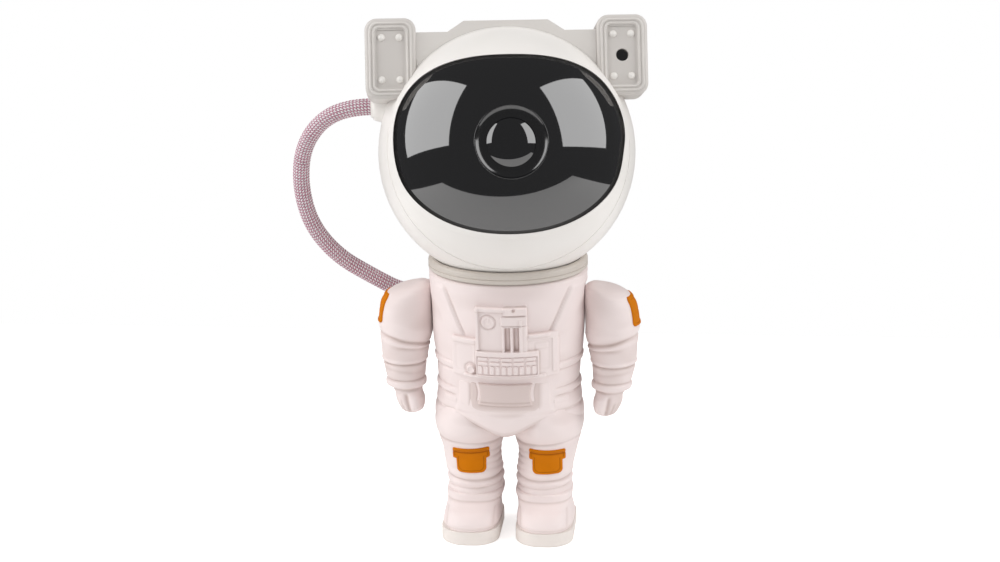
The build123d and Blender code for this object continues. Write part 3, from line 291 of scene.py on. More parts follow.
# the bar takes the lighter copy of the trim grey, painted light
nodes["top_bridge"].material_slots[0].material = finishes["trimGreyPaintedLighter"]
# the laser's window is clear; its near-black colour is painted shade for the dark hole behind it
nodes["star_grating"].material_slots[0].material = finishes["lensGlass"]
print("materials made:", len(finishes))


# Shapes are worked out in mm with numpy and become metres when the mesh is made.
def smoothStep(low, high, value):
    t = np.clip((value - low) / (high - low), 0, 1)
    return t * t * (3 - 2 * t)


def throughTable(table, height):
    # a smooth curve through each column of the table, read at a height
    rows = np.array(sorted(table), float)
    levels = rows[:, 0]
    values = rows[:, 1:]
    slopes = np.gradient(values, levels, axis=0)
    spot = np.clip(np.searchsorted(levels, height) - 1, 0, len(levels) - 2)
    span = levels[spot + 1] - levels[spot]
    t = np.clip((height - levels[spot]) / span, 0, 1)[..., None]
    span = span[..., None]
    result = (2 * t**3 - 3 * t**2 + 1) * values[spot] + (t**3 - 2 * t**2 + t) * span * slopes[spot]
    result += (3 * t**2 - 2 * t**3) * values[spot + 1] + (t**3 - t**2) * span * slopes[spot + 1]
    return np.moveaxis(result, -1, 0)


def swell(value, centre, width):
    return np.exp(-(((value - centre) / width) ** 2))


def crease(value, centre, width, depth):
    return -depth * swell(value, centre, width)


def band(value, low, high, edge):
    half = edge / 2
    return smoothStep(low - half, low + half, value) * (1 - smoothStep(high - half, high + half, value))


def padEdge(x, z, box, edge=0.5, corner=1.0):
    # one inside a rounded rectangle, falling to nought over the edge's width
    left, right, low, high = box
    dx = np.abs(x - (left + right) / 2) - ((right - left) / 2 - corner)
    dz = np.abs(z - (low + high) / 2) - ((high - low) / 2 - corner)
    outside = np.hypot(np.maximum(dx, 0), np.maximum(dz, 0)) + np.minimum(np.maximum(dx, dz), 0) - corner
    return 1 - smoothStep(-edge / 2, edge / 2, outside)


def evenAngles(count):
    return np.linspace(0, 2 * math.pi, count, endpoint=False)


def ringForm(rings):
    # rings of points around an axis, closed at both ends
    rows, columns = rings.shape[:2]
    points = np.concatenate([rings.reshape(-1, 3), rings[:1].mean(axis=1), rings[-1:].mean(axis=1)])
    first = np.arange(columns)
    second = (first + 1) % columns
    faces = []
    for low in range(0, (rows - 1) * columns, columns):
        high = low + columns
        faces += np.stack([low + first, low + second, high + second, high + first], 1).tolist()
    pole = rows * columns
    last = pole - columns
    faces += [[pole, b, a] for a, b in zip(first.tolist(), second.tolist())]
    faces += [[pole + 1, last + a, last + b] for a, b in zip(first.tolist(), second.tolist())]
    return points, faces


def withPoles(values):
    # numbers on a ringForm's points, and nought on the two that close it
    return np.concatenate([values.ravel(), [0, 0]])


def loopForm(rings):
    # rings of points whose last joins the first, as on a tube bent into a ring
    rows, columns = rings.shape[:2]
    index = np.arange(rows * columns).reshape(rows, columns)
    right = np.roll(index, -1, axis=1)
    above = np.roll(index, -1, axis=0)
    faces = np.stack([index, right, np.roll(right, -1, axis=0), above], -1)
    return rings.reshape(-1, 3), faces.reshape(-1, 4).tolist()


def slabForm(top, bottom):
    # two grids of points, one above the other, joined along their edges
    rows, columns = top.shape[:2]
    points = np.concatenate([top.reshape(-1, 3), bottom.reshape(-1, 3)])
    count = rows * columns
    index = np.arange(count).reshape(rows, columns)
    a, b, c, d = index[:-1, :-1], index[:-1, 1:], index[1:, 1:], index[1:, :-1]
    faces = np.stack([a, b, c, d], -1).reshape(-1, 4).tolist()
    faces += (np.stack([d, c, b, a], -1).reshape(-1, 4) + count).tolist()
    rim = np.concatenate([index[0, :-1], index[:-1, -1], index[-1, :0:-1], index[:0:-1, 0]])
    after = np.roll(rim, -1)
    faces += np.stack([after, rim, rim + count, after + count], -1).tolist()
    return points, faces


def withUnderside(values):
    # numbers on a slabForm's top, and nought below
    return np.concatenate([values.ravel(), np.zeros(values.size)])


def faceOutwards(mesh):
    work = bmesh.new()
    work.from_mesh(mesh)
    bmesh.ops.recalc_face_normals(work, faces=work.faces)
    work.to_mesh(mesh)
    work.free()


def makeMesh(name, forms, values=None):
    # forms are pairs of points and faces; values are numbers kept on the points
    points = []
    faces = []
    for formPoints, formFaces in forms:
        start = len(points)
        points += (np.asarray(formPoints) * mm).tolist()
        faces += [[start + i for i in face] for face in formFaces]
    mesh = bpy.data.meshes.new(name)
    mesh.from_pydata(points, [], faces)
    for key, numbers in (values or {}).items():
        layer = mesh.attributes.new(key, "FLOAT", "POINT")
        layer.data.foreach_set("value", np.asarray(numbers, np.float32))
    faceOutwards(mesh)
    return mesh


def makePiece(mesh, finish, sharp=None):
    piece = bpy.data.objects.new(mesh.name, mesh)
    scene.collection.objects.link(piece)
    mesh.materials.clear()
    mesh.materials.append(finishes[finish])
    mesh.shade_smooth()
    if sharp:
        mesh.set_sharp_from_angle(angle=math.radians(sharp))
    return piece


def fitPiece(piece, body, slot, *replaced):
    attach(piece, body)
    if replaced:
        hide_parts(*replaced)


# The helmet's own axes: across to the right-hand pod, out of the visor, and up
helmet = {"centre": Vector((0, 0, 168.5)), "tilt": 16.3, "turn": 7.5}
tilt = math.radians(helmet["tilt"])
turn = math.radians(helmet["turn"])
look = Vector((math.sin(turn) * math.cos(tilt), -math.cos(turn) * math.cos(tilt), math.sin(tilt)))
across = Vector((math.cos(turn), math.sin(turn), 0))
headUp = look.cross(across)


def headPlace(x, z, ahead):
    return np.stack([x, ahead, z], -1) @ np.array([across, look, headUp]) + helmet["centre"]


# The collar that the hose leaves: a smooth cone that grows out of the ball's side under the pod,
# its profile given as radius and distance out from the ball's middle
collar = {
    "y": -7.0, "z": 21.0, "root": 46.0, "mouth": 57.4,
    "profile": [(9.6, 46.0), (8.6, 48.5), (7.5, 51.0), (6.7, 53.2), (6.2, 54.8), (5.9, 55.7), (5.4, 56.3),
                (4.8, 56.5), (4.5, 57.4)],
}

# The hose: one smooth route from the gland under the pod round to the pack, cut near the gland into a long
# lower length and a short upper length
hoseSizes = {
    "radius": 3.6,
    "gland": helmet["centre"] - across * collar["mouth"] + look * collar["y"] + headUp * collar["z"],
    "straight": 9.0,
    "port": Vector((-28.4, 37.0, 99.5)),
    "cut": (-90.2, 11.8, 161.9),
    "strands": 16,
    "lead": 22.0,
    "around": 128,
    "step": 0.28,
    # how far the crowns sink into the sleeve, and how high a strand stands on and under the other
    "core": 0.5, "crown": 0.42, "weave": 0.16,
}
hoseRoute = [
    hoseSizes["gland"],
    hoseSizes["gland"] - across * hoseSizes["straight"],
    Vector((-80.5, 6.5, 180.5)),
    Vector((-89.6, 10.5, 167.5)),
    Vector((-92.0, 14.5, 150.0)),
    Vector((-88.8, 19.0, 131.5)),
    Vector((-78.5, 24.0, 116.3)),
    Vector((-64.0, 29.2, 105.8)),
    Vector((-49.5, 34.8, 96.4)),
    hoseSizes["port"] - Vector((hoseSizes["straight"], 0, 0)),
    hoseSizes["port"],
]


def followRoute(route):
    data = bpy.data.curves.new("hoseRoute", "CURVE")
    data.dimensions = "3D"
    data.resolution_u = 40
    spline = data.splines.new("NURBS")
    spline.points.add(len(route) - 1)
    for point, spot in zip(spline.points, route):
        point.co = (*(spot * mm), 1)
    spline.order_u = 3
    spline.use_endpoint_u = True
    curve = bpy.data.objects.new("hoseRoute", data)
    scene.collection.objects.link(curve)
    line = bpy.data.meshes.new_from_object(curve)
    spots = np.array([vertex.co for vertex in line.vertices]) / mm
    bpy.data.objects.remove(curve)
    bpy.data.meshes.remove(line)
    return spots


def evenSpots(spots, step):
    runs = np.linalg.norm(np.diff(spots, axis=0), axis=1)
    gone = np.concatenate([[0], np.cumsum(runs)])
    wanted = np.linspace(0, gone[-1], int(round(gone[-1] / step)) + 1)
    return np.stack([np.interp(wanted, gone, spots[:, i]) for i in range(3)], 1), wanted


def braidTube(name, spots, travelled):
    # a woven sleeve: two families of strands wind opposite ways and pass over and under
    sizes = hoseSizes
    ahead = np.gradient(spots, axis=0)
    ahead /= np.linalg.norm(ahead, axis=1)[:, None]
    side = np.cross(ahead[0], (0, 0, 1))
    sides = []
    for way in ahead:
        side = side - way * side.dot(way)
        side /= np.linalg.norm(side)
        sides.append(side)
    sides = np.array(sides)
    above = np.cross(ahead, sides)
    angle = evenAngles(sizes["around"])[None, :]
    along = travelled[:, None] / sizes["lead"]
    first = sizes["strands"] * (angle / (2 * math.pi) + along)
    second = sizes["strands"] * (angle / (2 * math.pi) - along)
    over = np.where((np.floor(first) + np.floor(second)) % 2 == 0, 1.0, -1.0)
    # a strand is round across and rides up where it passes over the other family
    heights = []
    for value, sign in ((first, over), (second, -over)):
        rounded = np.sqrt(np.clip((np.abs(np.sin(math.pi * value)) - 0.30) / 0.70, 0, 1))
        heights.append(rounded * (sizes["crown"] + sizes["weave"] * sign))
    top = np.maximum(*heights)
    radius = sizes["radius"] - sizes["core"] + top * 0.9
    rings = (
        spots[:, None, :]
        + (np.cos(angle) * radius)[..., None] * sides[:, None, :]
        + (np.sin(angle) * radius)[..., None] * above[:, None, :]
    )
    strand = withPoles(smoothStep(0.05, 0.22, top))
    family = withPoles((heights[0] > heights[1]).astype(float))
    return makePiece(makeMesh(name, [ringForm(rings)], {"strand": strand, "family": family}), "hoseBraid")


def makeHose():
    spots, travelled = evenSpots(followRoute(hoseRoute), hoseSizes["step"])
    cut = int(np.argmin(np.linalg.norm(spots - np.array(hoseSizes["cut"]), axis=1)))
    upper = braidTube("hoseUpper", spots[:cut + 1], travelled[:cut + 1])
    lower = braidTube("hoseLower", spots[cut:], travelled[cut:])
    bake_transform(lower)
    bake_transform(upper)
    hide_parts("hose")


makeHose()


# Shapes turned about an axis, and caps repeated on a grid
def spun(profile, columns, place):
    # profile is radius and distance along the axis; place puts across, up and along in the figure's frame
    angle = evenAngles(columns)
    profile = np.array(profile, float)
    radius = profile[:, :1]
    return place(radius * np.cos(angle), radius * np.sin(angle), profile[:, 1:] + 0 * angle)


def uprightPlace(x, y, z):
    return np.stack([x, y, z], -1)


def arcPoints(middle, radius, start, end, steps):
    angles = np.radians(np.linspace(start, end, steps))
    return [(middle[0] + radius * math.cos(a), middle[1] + radius * math.sin(a)) for a in angles]


def gridTree(finish):
    tree = bpy.data.node_groups.new("capGrid", "GeometryNodeTree")
    tree.interface.new_socket("Geometry", in_out="INPUT", socket_type="NodeSocketGeometry")
    for name, kind in (("Columns", "Int"), ("Rows", "Int"), ("Pitch X", "Float"), ("Pitch Z", "Float")):
        tree.interface.new_socket(name, in_out="INPUT", socket_type="NodeSocket" + kind)
    tree.interface.new_socket("Geometry", in_out="OUTPUT", socket_type="NodeSocketGeometry")
    start = addNode(tree, "NodeGroupInput")
    spans = []
    for count, pitch in (("Columns", "Pitch X"), ("Rows", "Pitch Z")):
        less = addNode(tree, "ShaderNodeMath", {"operation": "SUBTRACT"}, {1: 1.0}, {0: start.outputs[count]})
        spans.append(addNode(tree, "ShaderNodeMath", {"operation": "MULTIPLY"},
                             links={0: less.outputs[0], 1: start.outputs[pitch]}))
    grid = addNode(tree, "GeometryNodeMeshGrid", links={
        "Size X": spans[0].outputs[0], "Size Y": spans[1].outputs[0],
        "Vertices X": start.outputs["Columns"], "Vertices Y": start.outputs["Rows"],
    })
    spread = addNode(tree, "GeometryNodeInstanceOnPoints", links={
        "Points": grid.outputs["Mesh"], "Instance": start.outputs["Geometry"],
    })
    real = addNode(tree, "GeometryNodeRealizeInstances", links={"Geometry": spread.outputs["Instances"]})
    painted = addNode(tree, "GeometryNodeSetMaterial", values={"Material": finish},
                      links={"Geometry": real.outputs["Geometry"]})
    addNode(tree, "NodeGroupOutput", links={"Geometry": painted.outputs["Geometry"]})
    return tree


def repeatCap(name, capForm, finish, counts, pitches, place):
    # a cap drawn flat at the origin becomes a grid of caps, which place then carries to its seat
    cap = makePiece(makeMesh("cap", [capForm]), finish)
    tree = gridTree(finishes[finish])
    modifier = cap.modifiers.new("grid", "NODES")
    modifier.node_group = tree
    wanted = {"Columns": counts[0], "Rows": counts[1], "Pitch X": pitches[0] * mm, "Pitch Z": pitches[1] * mm}
    for item in tree.interface.items_tree:
        if item.in_out == "INPUT" and item.name in wanted:
            modifier[item.identifier] = wanted[item.name]
    mesh = bpy.data.meshes.new_from_object(cap.evaluated_get(bpy.context.evaluated_depsgraph_get()))
    cap.modifiers.remove(modifier)
    bpy.data.objects.remove(cap)
    flat = np.array([vertex.co for vertex in mesh.vertices]) / mm
    mesh.vertices.foreach_set("co", (place(*flat.T) * mm).astype(np.float32).ravel())
    mesh.name = name
    faceOutwards(mesh)
    return makePiece(mesh, finish, 50)


def headPiece(name, forms, finish, slot, *replaced, sharp=40):
    fitPiece(makePiece(makeMesh(name, forms), finish, sharp), "head", slot, *replaced)


# Visor: a plate of the ball's shell, sunk a little inside its lip, with a hole for the lens's ring.
# Its outline is squarer above than below, by the two powers.
visor = {
    "halfWidth": 47.45, "halfHeight": 36.45, "squareTop": 2.7, "squareLow": 2.1,
    "radius": 54.0, "wall": 1.9, "edge": 0.2, "hole": 14.75, "columns": 400, "rows": 60,
}


def makeVisor():
    edge, front = visor["edge"], visor["radius"]
    angle = evenAngles(visor["columns"])
    c = np.cos(angle)
    s = np.sin(angle)
    power = np.where(s > 0, 2 / visor["squareTop"], 2 / visor["squareLow"])
    outlineX = visor["halfWidth"] * np.sign(c) * np.abs(c) ** power
    outlineZ = visor["halfHeight"] * np.sign(s) * np.abs(s) ** power
    # share of the way from the hole to the outline, and distance from the ball's middle
    rows = [(share, front) for share in np.linspace(0, 1 - edge / 30, visor["rows"])]
    rows += [(1 - edge / 90, front - edge * 0.35), (1, front - edge)]
    rows += [(share, front - visor["wall"]) for share in (1, 0.75, 0.5, 0.25, 0)]
    rings = []
    for share, radius in rows:
        x = visor["hole"] * c * (1 - share) + outlineX * share
        z = visor["hole"] * s * (1 - share) + outlineZ * share
        rings.append(headPlace(x, z, np.sqrt(radius**2 - x**2 - z**2)))
    headPiece("visorPlate", [loopForm(np.array(rings))], "visorBlackAcrylic", "visor_black", "visor",
              sharp=30)


# Lens: a low dome in a dished ring, which mirrors the lamps opposite to where they stand
lens = {
    "domeRadius": 16.6, "radius": 9.9, "rim": 50.6, "rear": 47.0, "stem": 9.3, "rows": 40,
    "dishInner": 11.1, "dishOuter": 14.7, "dishSlope": 46.0, "dishFloor": 50.6, "lip": 0.2, "skirt": 49.9,
}


def makeLens():
    edge = math.asin(lens["radius"] / lens["domeRadius"])
    middle = (0, lens["rim"] - lens["domeRadius"] * math.cos(edge))
    seat = lens["rim"] - 0.1
    stem = [(0.01, lens["rear"]), (lens["stem"], lens["rear"]), (lens["stem"], seat),
            (lens["radius"] - 0.15, seat)]
    dome = arcPoints(middle, lens["domeRadius"], 90 - math.degrees(edge), 90, lens["rows"] + 1)[:-1]
    # the dome is near black, painted shade for the dark barrel behind its glass
    headPiece("lensDome", [ringForm(spun(stem + dome, 160, headPlace))], "lensGlass", "lens_glass",
              "projection_lens")
    bend = (lens["dishOuter"] - lens["dishInner"]) / math.sin(math.radians(lens["dishSlope"]))
    dish = arcPoints((lens["dishInner"], lens["dishFloor"] + bend), bend, -90, -90 + lens["dishSlope"], 30)
    lipX, lipZ = dish[-1]
    lip = arcPoints((lipX + lens["lip"] * 0.7, lipZ - lens["lip"] * 0.7), lens["lip"], 135, 0, 8)
    step = lens["dishInner"] + 0.3
    bore = lens["radius"] + 0.1
    ledge = lens["dishFloor"] - 0.08
    skirt = [(lip[-1][0], lens["skirt"]), (step, lens["skirt"]), (step, ledge), (bore, ledge),
             (bore, lens["dishFloor"])]
    headPiece("lensRing", [loopForm(spun(dish + lip + skirt, 200, headPlace))], "bezelBlackAbs",
              "bezel_black", "lens_bezel")


# Neck ring: the cup that the ball sits in, with its spigot and flange under the collar
neck = {
    "outer": 34.2, "groove": 0.9, "bottom": 119.0, "shoulder": 122.5, "rim": 124.15,
    "line": (120.95, 121.5), "lineDepth": 0.3, "bowl": 54.7, "bowlEdge": 32.3,
    "spigot": 24.0, "flange": 27.5, "flangeTop": 114.9, "flangeFoot": 112.7, "foot": 107.6,
    "pocket": 12.1, "pocketFloor": 109.5,
}


def makeNeckRing():
    outer, bottom = neck["outer"], neck["bottom"]
    inset, lined = outer - neck["groove"], outer - neck["lineDepth"]
    lineLow, lineHigh = neck["line"]
    profile = [
        (0.01, neck["foot"]), (neck["spigot"], neck["foot"]), (neck["spigot"], neck["flangeFoot"]),
        (neck["flange"], neck["flangeFoot"]), (neck["flange"], neck["flangeTop"]),
        (neck["spigot"], neck["flangeTop"]), (neck["spigot"], bottom),
        # a deep groove at the foot of the cup and a fine line half way up
        (inset, bottom), (inset, bottom + 0.4), (outer, bottom + 0.65),
        (outer, lineLow), (lined, lineLow + 0.15), (lined, lineHigh - 0.15), (outer, lineHigh),
    ]
    reach = outer - neck["bowlEdge"]
    rise = neck["rim"] - neck["shoulder"]
    for bend in np.radians(np.linspace(0, 90, 13)):
        profile.append((neck["bowlEdge"] + reach * math.cos(bend), neck["shoulder"] + rise * math.sin(bend)))
    for radius in np.linspace(neck["bowlEdge"] - 0.25, neck["pocket"], 24):
        profile.append((radius, helmet["centre"].z - math.sqrt(neck["bowl"] ** 2 - radius**2)))
    profile += [(neck["pocket"], neck["pocketFloor"]), (0.01, neck["pocketFloor"])]
    piece = makePiece(makeMesh("neckRing", [ringForm(spun(profile, 240, uprightPlace))]), "ringBeigeAbs", 40)
    fitPiece(piece, "neck", "ring_beige", "neck_ring")


# Side pods: a raised inner frame that slopes into the recess, domed rivets, and a rim round the window
pod = {
    "x": 48.1, "z": 38.0, "width": 21.2, "height": 33.6, "face": 21.5,
    "frame": [
        # inset from the pod's edge, height over its face, corner radius: two ridges with a groove between
        (1.6, -0.45, 3.6), (1.6, 0.2, 3.6), (1.8, 0.5, 3.5), (2.2, 0.55, 3.3), (2.5, 0.35, 3.1),
        (2.6, -0.15, 3.0), (3.1, -0.15, 2.7), (3.2, 0.25, 2.6), (3.5, 0.45, 2.4), (3.9, 0.3, 2.2),
        (4.15, -0.45, 2.0), (4.55, -0.7, 1.7), (4.7, -1.6, 1.5), (4.7, -1.9, 1.5), (3.3, -1.9, 2.0),
        (3.3, -0.45, 2.0),
    ],
    "window": 4.1, "windowSeat": -1.45, "bead": 0.28,
    "rivetRadius": 1.6, "rivetHeight": 1.6, "rivetSeat": -1.45, "rivetPitch": (7.4, 17.6),
}


def roundedOutline(halfX, halfZ, corner, perCorner=10):
    points = []
    for quarter, (signX, signZ) in enumerate(((1, 1), (-1, 1), (-1, -1), (1, -1))):
        middle = (signX * (halfX - corner), signZ * (halfZ - corner))
        points += arcPoints(middle, corner, 90 * quarter, 90 * quarter + 90, perCorner)
    return np.array(points)


def makePod(side, name):
    def onFace(x, z, out):
        return headPlace(side * pod["x"] + x, pod["z"] + z, pod["face"] + out)

    rings = []
    for inset, lift, corner in pod["frame"]:
        outline = roundedOutline(pod["width"] / 2 - inset, pod["height"] / 2 - inset, corner)
        rings.append(onFace(*outline.T, np.full(len(outline), lift)))
    forms = [loopForm(np.array(rings))]
    if name == "right":
        bead = arcPoints((pod["window"], pod["windowSeat"]), pod["bead"], 0, 324, 10)
        forms.append(loopForm(spun(bead, 60, onFace)))
    # the frames take the lighter copy of the trim grey, painted light
    headPiece("podFrame" + name.capitalize(), forms, "trimGreyPaintedLighter", "trim_grey", sharp=50)
    dome = [(pod["rivetRadius"], -0.3), (pod["rivetRadius"], 0.1)]
    dome += [(pod["rivetRadius"] * math.cos(a), 0.1 + pod["rivetHeight"] * math.sin(a))
             for a in np.radians(np.linspace(10, 84, 9))]
    # the rivets take the lighter grey, a painted highlight
    rivets = repeatCap(
        "podRivets" + name.capitalize(), ringForm(spun(dome, 28, uprightPlace)), "rivetGreyPaintedHighlight", (2, 2),
        pod["rivetPitch"], lambda x, z, out: onFace(x, z, pod["rivetSeat"] + out),
    )
    fitPiece(rivets, "head", "trim_grey", "pod_rivets_" + name)


def makeCollar():
    def place(x, z, out):
        return headPlace(-out, collar["z"] + z, collar["y"] + x)

    rows = [(0.01, collar["root"])] + collar["profile"]
    headPiece("hoseCollar", [ringForm(spun(rows, 64, place))], "helmetSatinAbs", "shell_white", "hose_gland")


makeVisor()
makeLens()
makeNeckRing()
for side, name in ((-1, "left"), (1, "right")):
    makePod(side, name)
makeCollar()
print("head dressed")


# The suit's body, legs and boots. The body's sections are height, half width and half depth;
# the others' are height, centre, half width, half depth and middle from front to back.
torso = {
    "sections": [
        (118.6, 34.0, 33.6), (110.0, 33.6, 32.8), (97.0, 33.0, 30.8), (85.0, 32.2, 28.9),
        (73.5, 30.6, 27.5), (62.0, 31.6, 27.6), (54.0, 32.4, 27.0), (46.0, 30.6, 24.6),
    ],
    "top": 118.6, "collar": 0.9, "levelTo": 62.0, "columns": 330, "rows": 118, "hemRows": 26,
    "cup": (28.6, 106.0),
    "flat": 33.0, "flatTop": 113.0,
    "hem": 52.4, "hemRise": 7.0, "hemSpan": 12.0, "sideDrop": 13.0, "curl": 3.0, "curlRows": 7,
    "crotch": 51.2,
    "seam": 0.28,
    "belts": ((78.6, 81.4), (67.2, 69.6)),
    "waist": 59.8,
    # each shoulder's line, from its top to its foot, as width and height
    "harness": (((-24.6, 114.0), (-16.6, 95.5)), ((27.4, 114.0), (20.2, 97.5))),
}
leg = {
    "sections": [
        (62.0, 15.0, 13.6, 20.6, 0.0), (58.0, 15.6, 15.0, 23.4, 0.0), (53.0, 16.2, 16.1, 24.3, 0.0),
        (48.0, 16.5, 15.8, 22.6, 0.0), (44.0, 16.7, 14.7, 19.6, -0.2), (39.0, 16.6, 13.2, 17.0, -0.5),
        (31.0, 15.8, 12.3, 15.2, -1.0), (25.0, 15.2, 11.9, 14.4, -1.0), (18.0, 15.1, 12.0, 14.4, -0.6),
        (12.5, 15.0, 11.2, 13.8, 0.0), (8.0, 14.9, 11.0, 13.8, 0.0),
    ],
    "columns": 176, "rows": 130, "radius": 13.0,
    "shade": 0.42,
    "kneeTop": 44.3, "shin": 26.4, "ankle": 22.4,
    # height and strength of the folds inside and behind the knee
    "kneeFolds": ((38.2, 0.5), (35.4, 0.75), (32.6, 0.6), (29.6, 0.5)),
    # height, width and rise of the cloth between the folds
    "bulges": ((24.4, 1.5, 0.55), (28.6, 1.3, 0.35)),
    "thigh": (50.0, 4.0, 0.5),
}
boot = {
    "sections": [
        (6.2, 16.1, 12.1, 20.9, -5.0), (7.0, 16.1, 12.5, 21.3, -5.0), (9.0, 16.0, 12.4, 21.1, -5.0),
        (11.0, 15.9, 12.1, 20.1, -4.8), (12.8, 15.8, 11.8, 18.6, -4.4), (14.4, 15.6, 11.7, 17.0, -3.5),
        (15.8, 15.4, 11.9, 15.8, -2.4), (17.4, 15.2, 12.4, 15.3, -1.2), (18.9, 15.1, 12.5, 15.1, -0.8),
        (19.6, 15.1, 12.1, 14.7, -0.8), (19.9, 15.1, 11.4, 14.0, -0.8),
    ],
    "columns": 190, "rows": 60, "radius": 13.0, "power": 2.7,
    "toePanel": (-9.3, 9.3, 8.3, 14.0), "toeSide": 10.2, "welt": 7.3, "rolledCollar": 16.7,
}


def aroundAngles(count, radius):
    # even angles, with extra ones beside the suit's side seams, at gaps in mm
    extra = [base + sign * gap / radius
             for base in (0, math.pi) for sign in (-1, 1) for gap in (0.12, 0.3, 0.5, 0.8)]
    return np.unique(np.round(np.concatenate([evenAngles(count), np.mod(extra, 2 * math.pi)]), 6))


def rowHeights(piece, angle):
    heights = np.linspace(piece["sections"][0][0], piece["sections"][-1][0], piece["rows"])
    return heights[:, None] * np.ones(angle.shape)


def rippled(angle, height, seed):
    # slow waves that keep the folds from looking turned on a lathe
    return (
        np.sin(2 * angle + seed) * np.sin(height * 0.21 + seed * 1.7)
        + 0.6 * np.sin(3 * angle - height * 0.33 + seed * 2.3)
        + 0.4 * np.sin(5 * angle + height * 0.47 + seed * 0.9)
    )


def torsoSkin(x, z):
    # the plain front of the body at a width and a height
    halfWidth, halfDepth = throughTable(torso["sections"], z)
    return -halfDepth * np.sqrt(np.clip(1 - (x / halfWidth) ** 2, 0.02, 1))


def hemHeight(span):
    # the body ends in a shallow V over the thighs, and at the sides it runs on into them
    rise = torso["hemRise"] * (1 - swell(span, 0, torso["hemSpan"]))
    return torso["hem"] + rise - torso["sideDrop"] * smoothStep(19, 27, span)


def torsoDetail(angle, x, z, front):
    out = 0.12 * rippled(angle, z, 1.3)
    # load belts that run round from the chest unit, with puffed cloth between them at the sides
    beside = 1 - front * (1 - smoothStep(20.0, 23.0, np.abs(x)))
    for low, high in torso["belts"]:
        belt = band(z, low, high, 0.9)
        out += beside * (0.7 * belt + crease(z, low - 0.5, 0.5, 0.35) + crease(z, high + 0.5, 0.5, 0.25))
    out += 0.5 * np.sin(np.clip((z - 70.0) / 8.4, 0, 1) * math.pi) * beside
    out += crease(z, torso["waist"], 0.8, 0.55) * (0.35 + 0.65 * smoothStep(14, 24, np.abs(x)))
    # the harness: the shoulders stand proud of the chest outside a line down to the unit
    reach = front * smoothStep(93.5, 97.0, z) * (1 - smoothStep(114.0, 116.5, z))
    for (topX, topZ), (footX, footZ) in torso["harness"]:
        along = np.clip((topZ - z) / (topZ - footZ), -0.2, 1.3)
        beyond = (x - topX - (footX - topX) * along) * math.copysign(1, topX)
        proud = 0.75 * smoothStep(-0.1, 0.8, beyond) * (1 - smoothStep(3.0, 9.0, beyond))
        out += reach * (proud + crease(beyond, -0.3, 0.55, 0.5))
    return out


def makeTorso():
    top, rounding, curl = torso["top"], torso["collar"], torso["curl"]
    angle = aroundAngles(torso["columns"], torso["flat"])[None, :]
    levels = np.linspace(top - rounding, torso["levelTo"], torso["rows"])[:, None]
    # the lower rows lean over until the last follows the hem
    hem = hemHeight(np.abs(torso["sections"][-2][1] * np.cos(angle)))
    share = np.linspace(0, 1, torso["hemRows"] + 1)[1:, None]
    z = np.concatenate([levels * np.ones(angle.shape), torso["levelTo"] + (hem - torso["levelTo"]) * share])
    halfWidth, halfDepth = throughTable(torso["sections"], z)
    x = halfWidth * np.cos(angle)
    y = halfDepth * np.sin(angle)
    out = torsoDetail(angle, x, z, (y < 0).astype(float)) + crease(y, 0.0, 0.3, torso["seam"])
    # the hem swells a little before it turns in over the thighs
    out += 0.6 * swell(z, hem + 2.5, 2.6)
    x = x + out * np.cos(angle)
    y = y + out * np.sin(angle)
    x = np.where(z < torso["flatTop"], np.clip(x, -torso["flat"], torso["flat"]), x)
    skin = np.stack([x, y, z], -1)
    # up out of the neck's cup and over a rounded collar
    bore, floor = torso["cup"]
    lead = [(bore, bore, floor), (bore, bore, top - 0.4), (bore + 0.4, bore + 0.4, top)]
    for bend in np.radians((90, 60, 30)):
        shrink = 1 - rounding * math.sin(bend) / torso["flat"]
        height = top - rounding * (1 - math.sin(bend))
        lead.append((halfWidth[0, 0] * shrink, halfDepth[0, 0] * shrink, height))
    lead = [np.stack([wide * np.cos(angle[0]), deep * np.sin(angle[0]), np.full(angle.size, height)], -1)
            for wide, deep, height in lead]
    # the hem curls under and closes between the legs
    tail = []
    edgeX, edgeY, edgeZ = skin[-1].T
    for bend in np.radians(np.linspace(0, 90, torso["curlRows"] + 1)[1:]):
        shrink = 1 - curl * (1 - math.cos(bend)) / np.hypot(edgeX, edgeY)
        tail.append(np.stack([edgeX * shrink, edgeY * shrink, edgeZ - curl * math.sin(bend)], -1))
    crotch = np.array([0, 0, torso["crotch"]])
    tail += [crotch + (tail[-1] - crotch) * share for share in (0.8, 0.5, 0.2)]
    # painted shade for the crease attribute: darker in the body's grooves, and along the hem's underside as
    # it curls in
    depths = [np.zeros((len(lead), angle.size)), np.clip(-out * 0.8, 0, 1),
              np.linspace(0.2, 1.0, len(tail))[:, None] * np.ones(angle.shape)]
    return ringForm(np.concatenate([lead, skin, tail])), withPoles(np.concatenate(depths))


def legDetail(angle, z, side):
    # folds at the top of the knee, at the shin and above the boot, then inside and behind the knee
    outwards = np.cos(angle)
    inner = np.clip(-side * outwards, 0, 1)
    front = np.clip(-np.sin(angle), 0, 1)
    back = np.clip(np.sin(angle), 0, 1)
    wave = rippled(angle, z, 2.1 + side)
    out = 0.16 * wave
    kneeTop = crease(z, leg["kneeTop"] + 0.9 * outwards * side + 0.25 * wave, 0.75, 0.75)
    out += kneeTop * (0.45 + 0.55 * front)
    out += crease(z, leg["shin"] - 0.5 * front + 0.3 * wave, 0.8, 0.85)
    out += crease(z, leg["ankle"] + 0.5 * outwards + 0.2 * wave, 0.55, 0.45)
    for height, width, rise in leg["bulges"]:
        out += rise * swell(z, height, width)
    for height, strength in leg["kneeFolds"]:
        out += crease(z, height + 1.2 * front, 0.6, 0.8) * inner**2 * strength
        out += crease(z, height - 0.6, 0.7, 0.6) * back**2 * strength
    height, width, rise = leg["thigh"]
    return out + rise * swell(z, height, width) * front


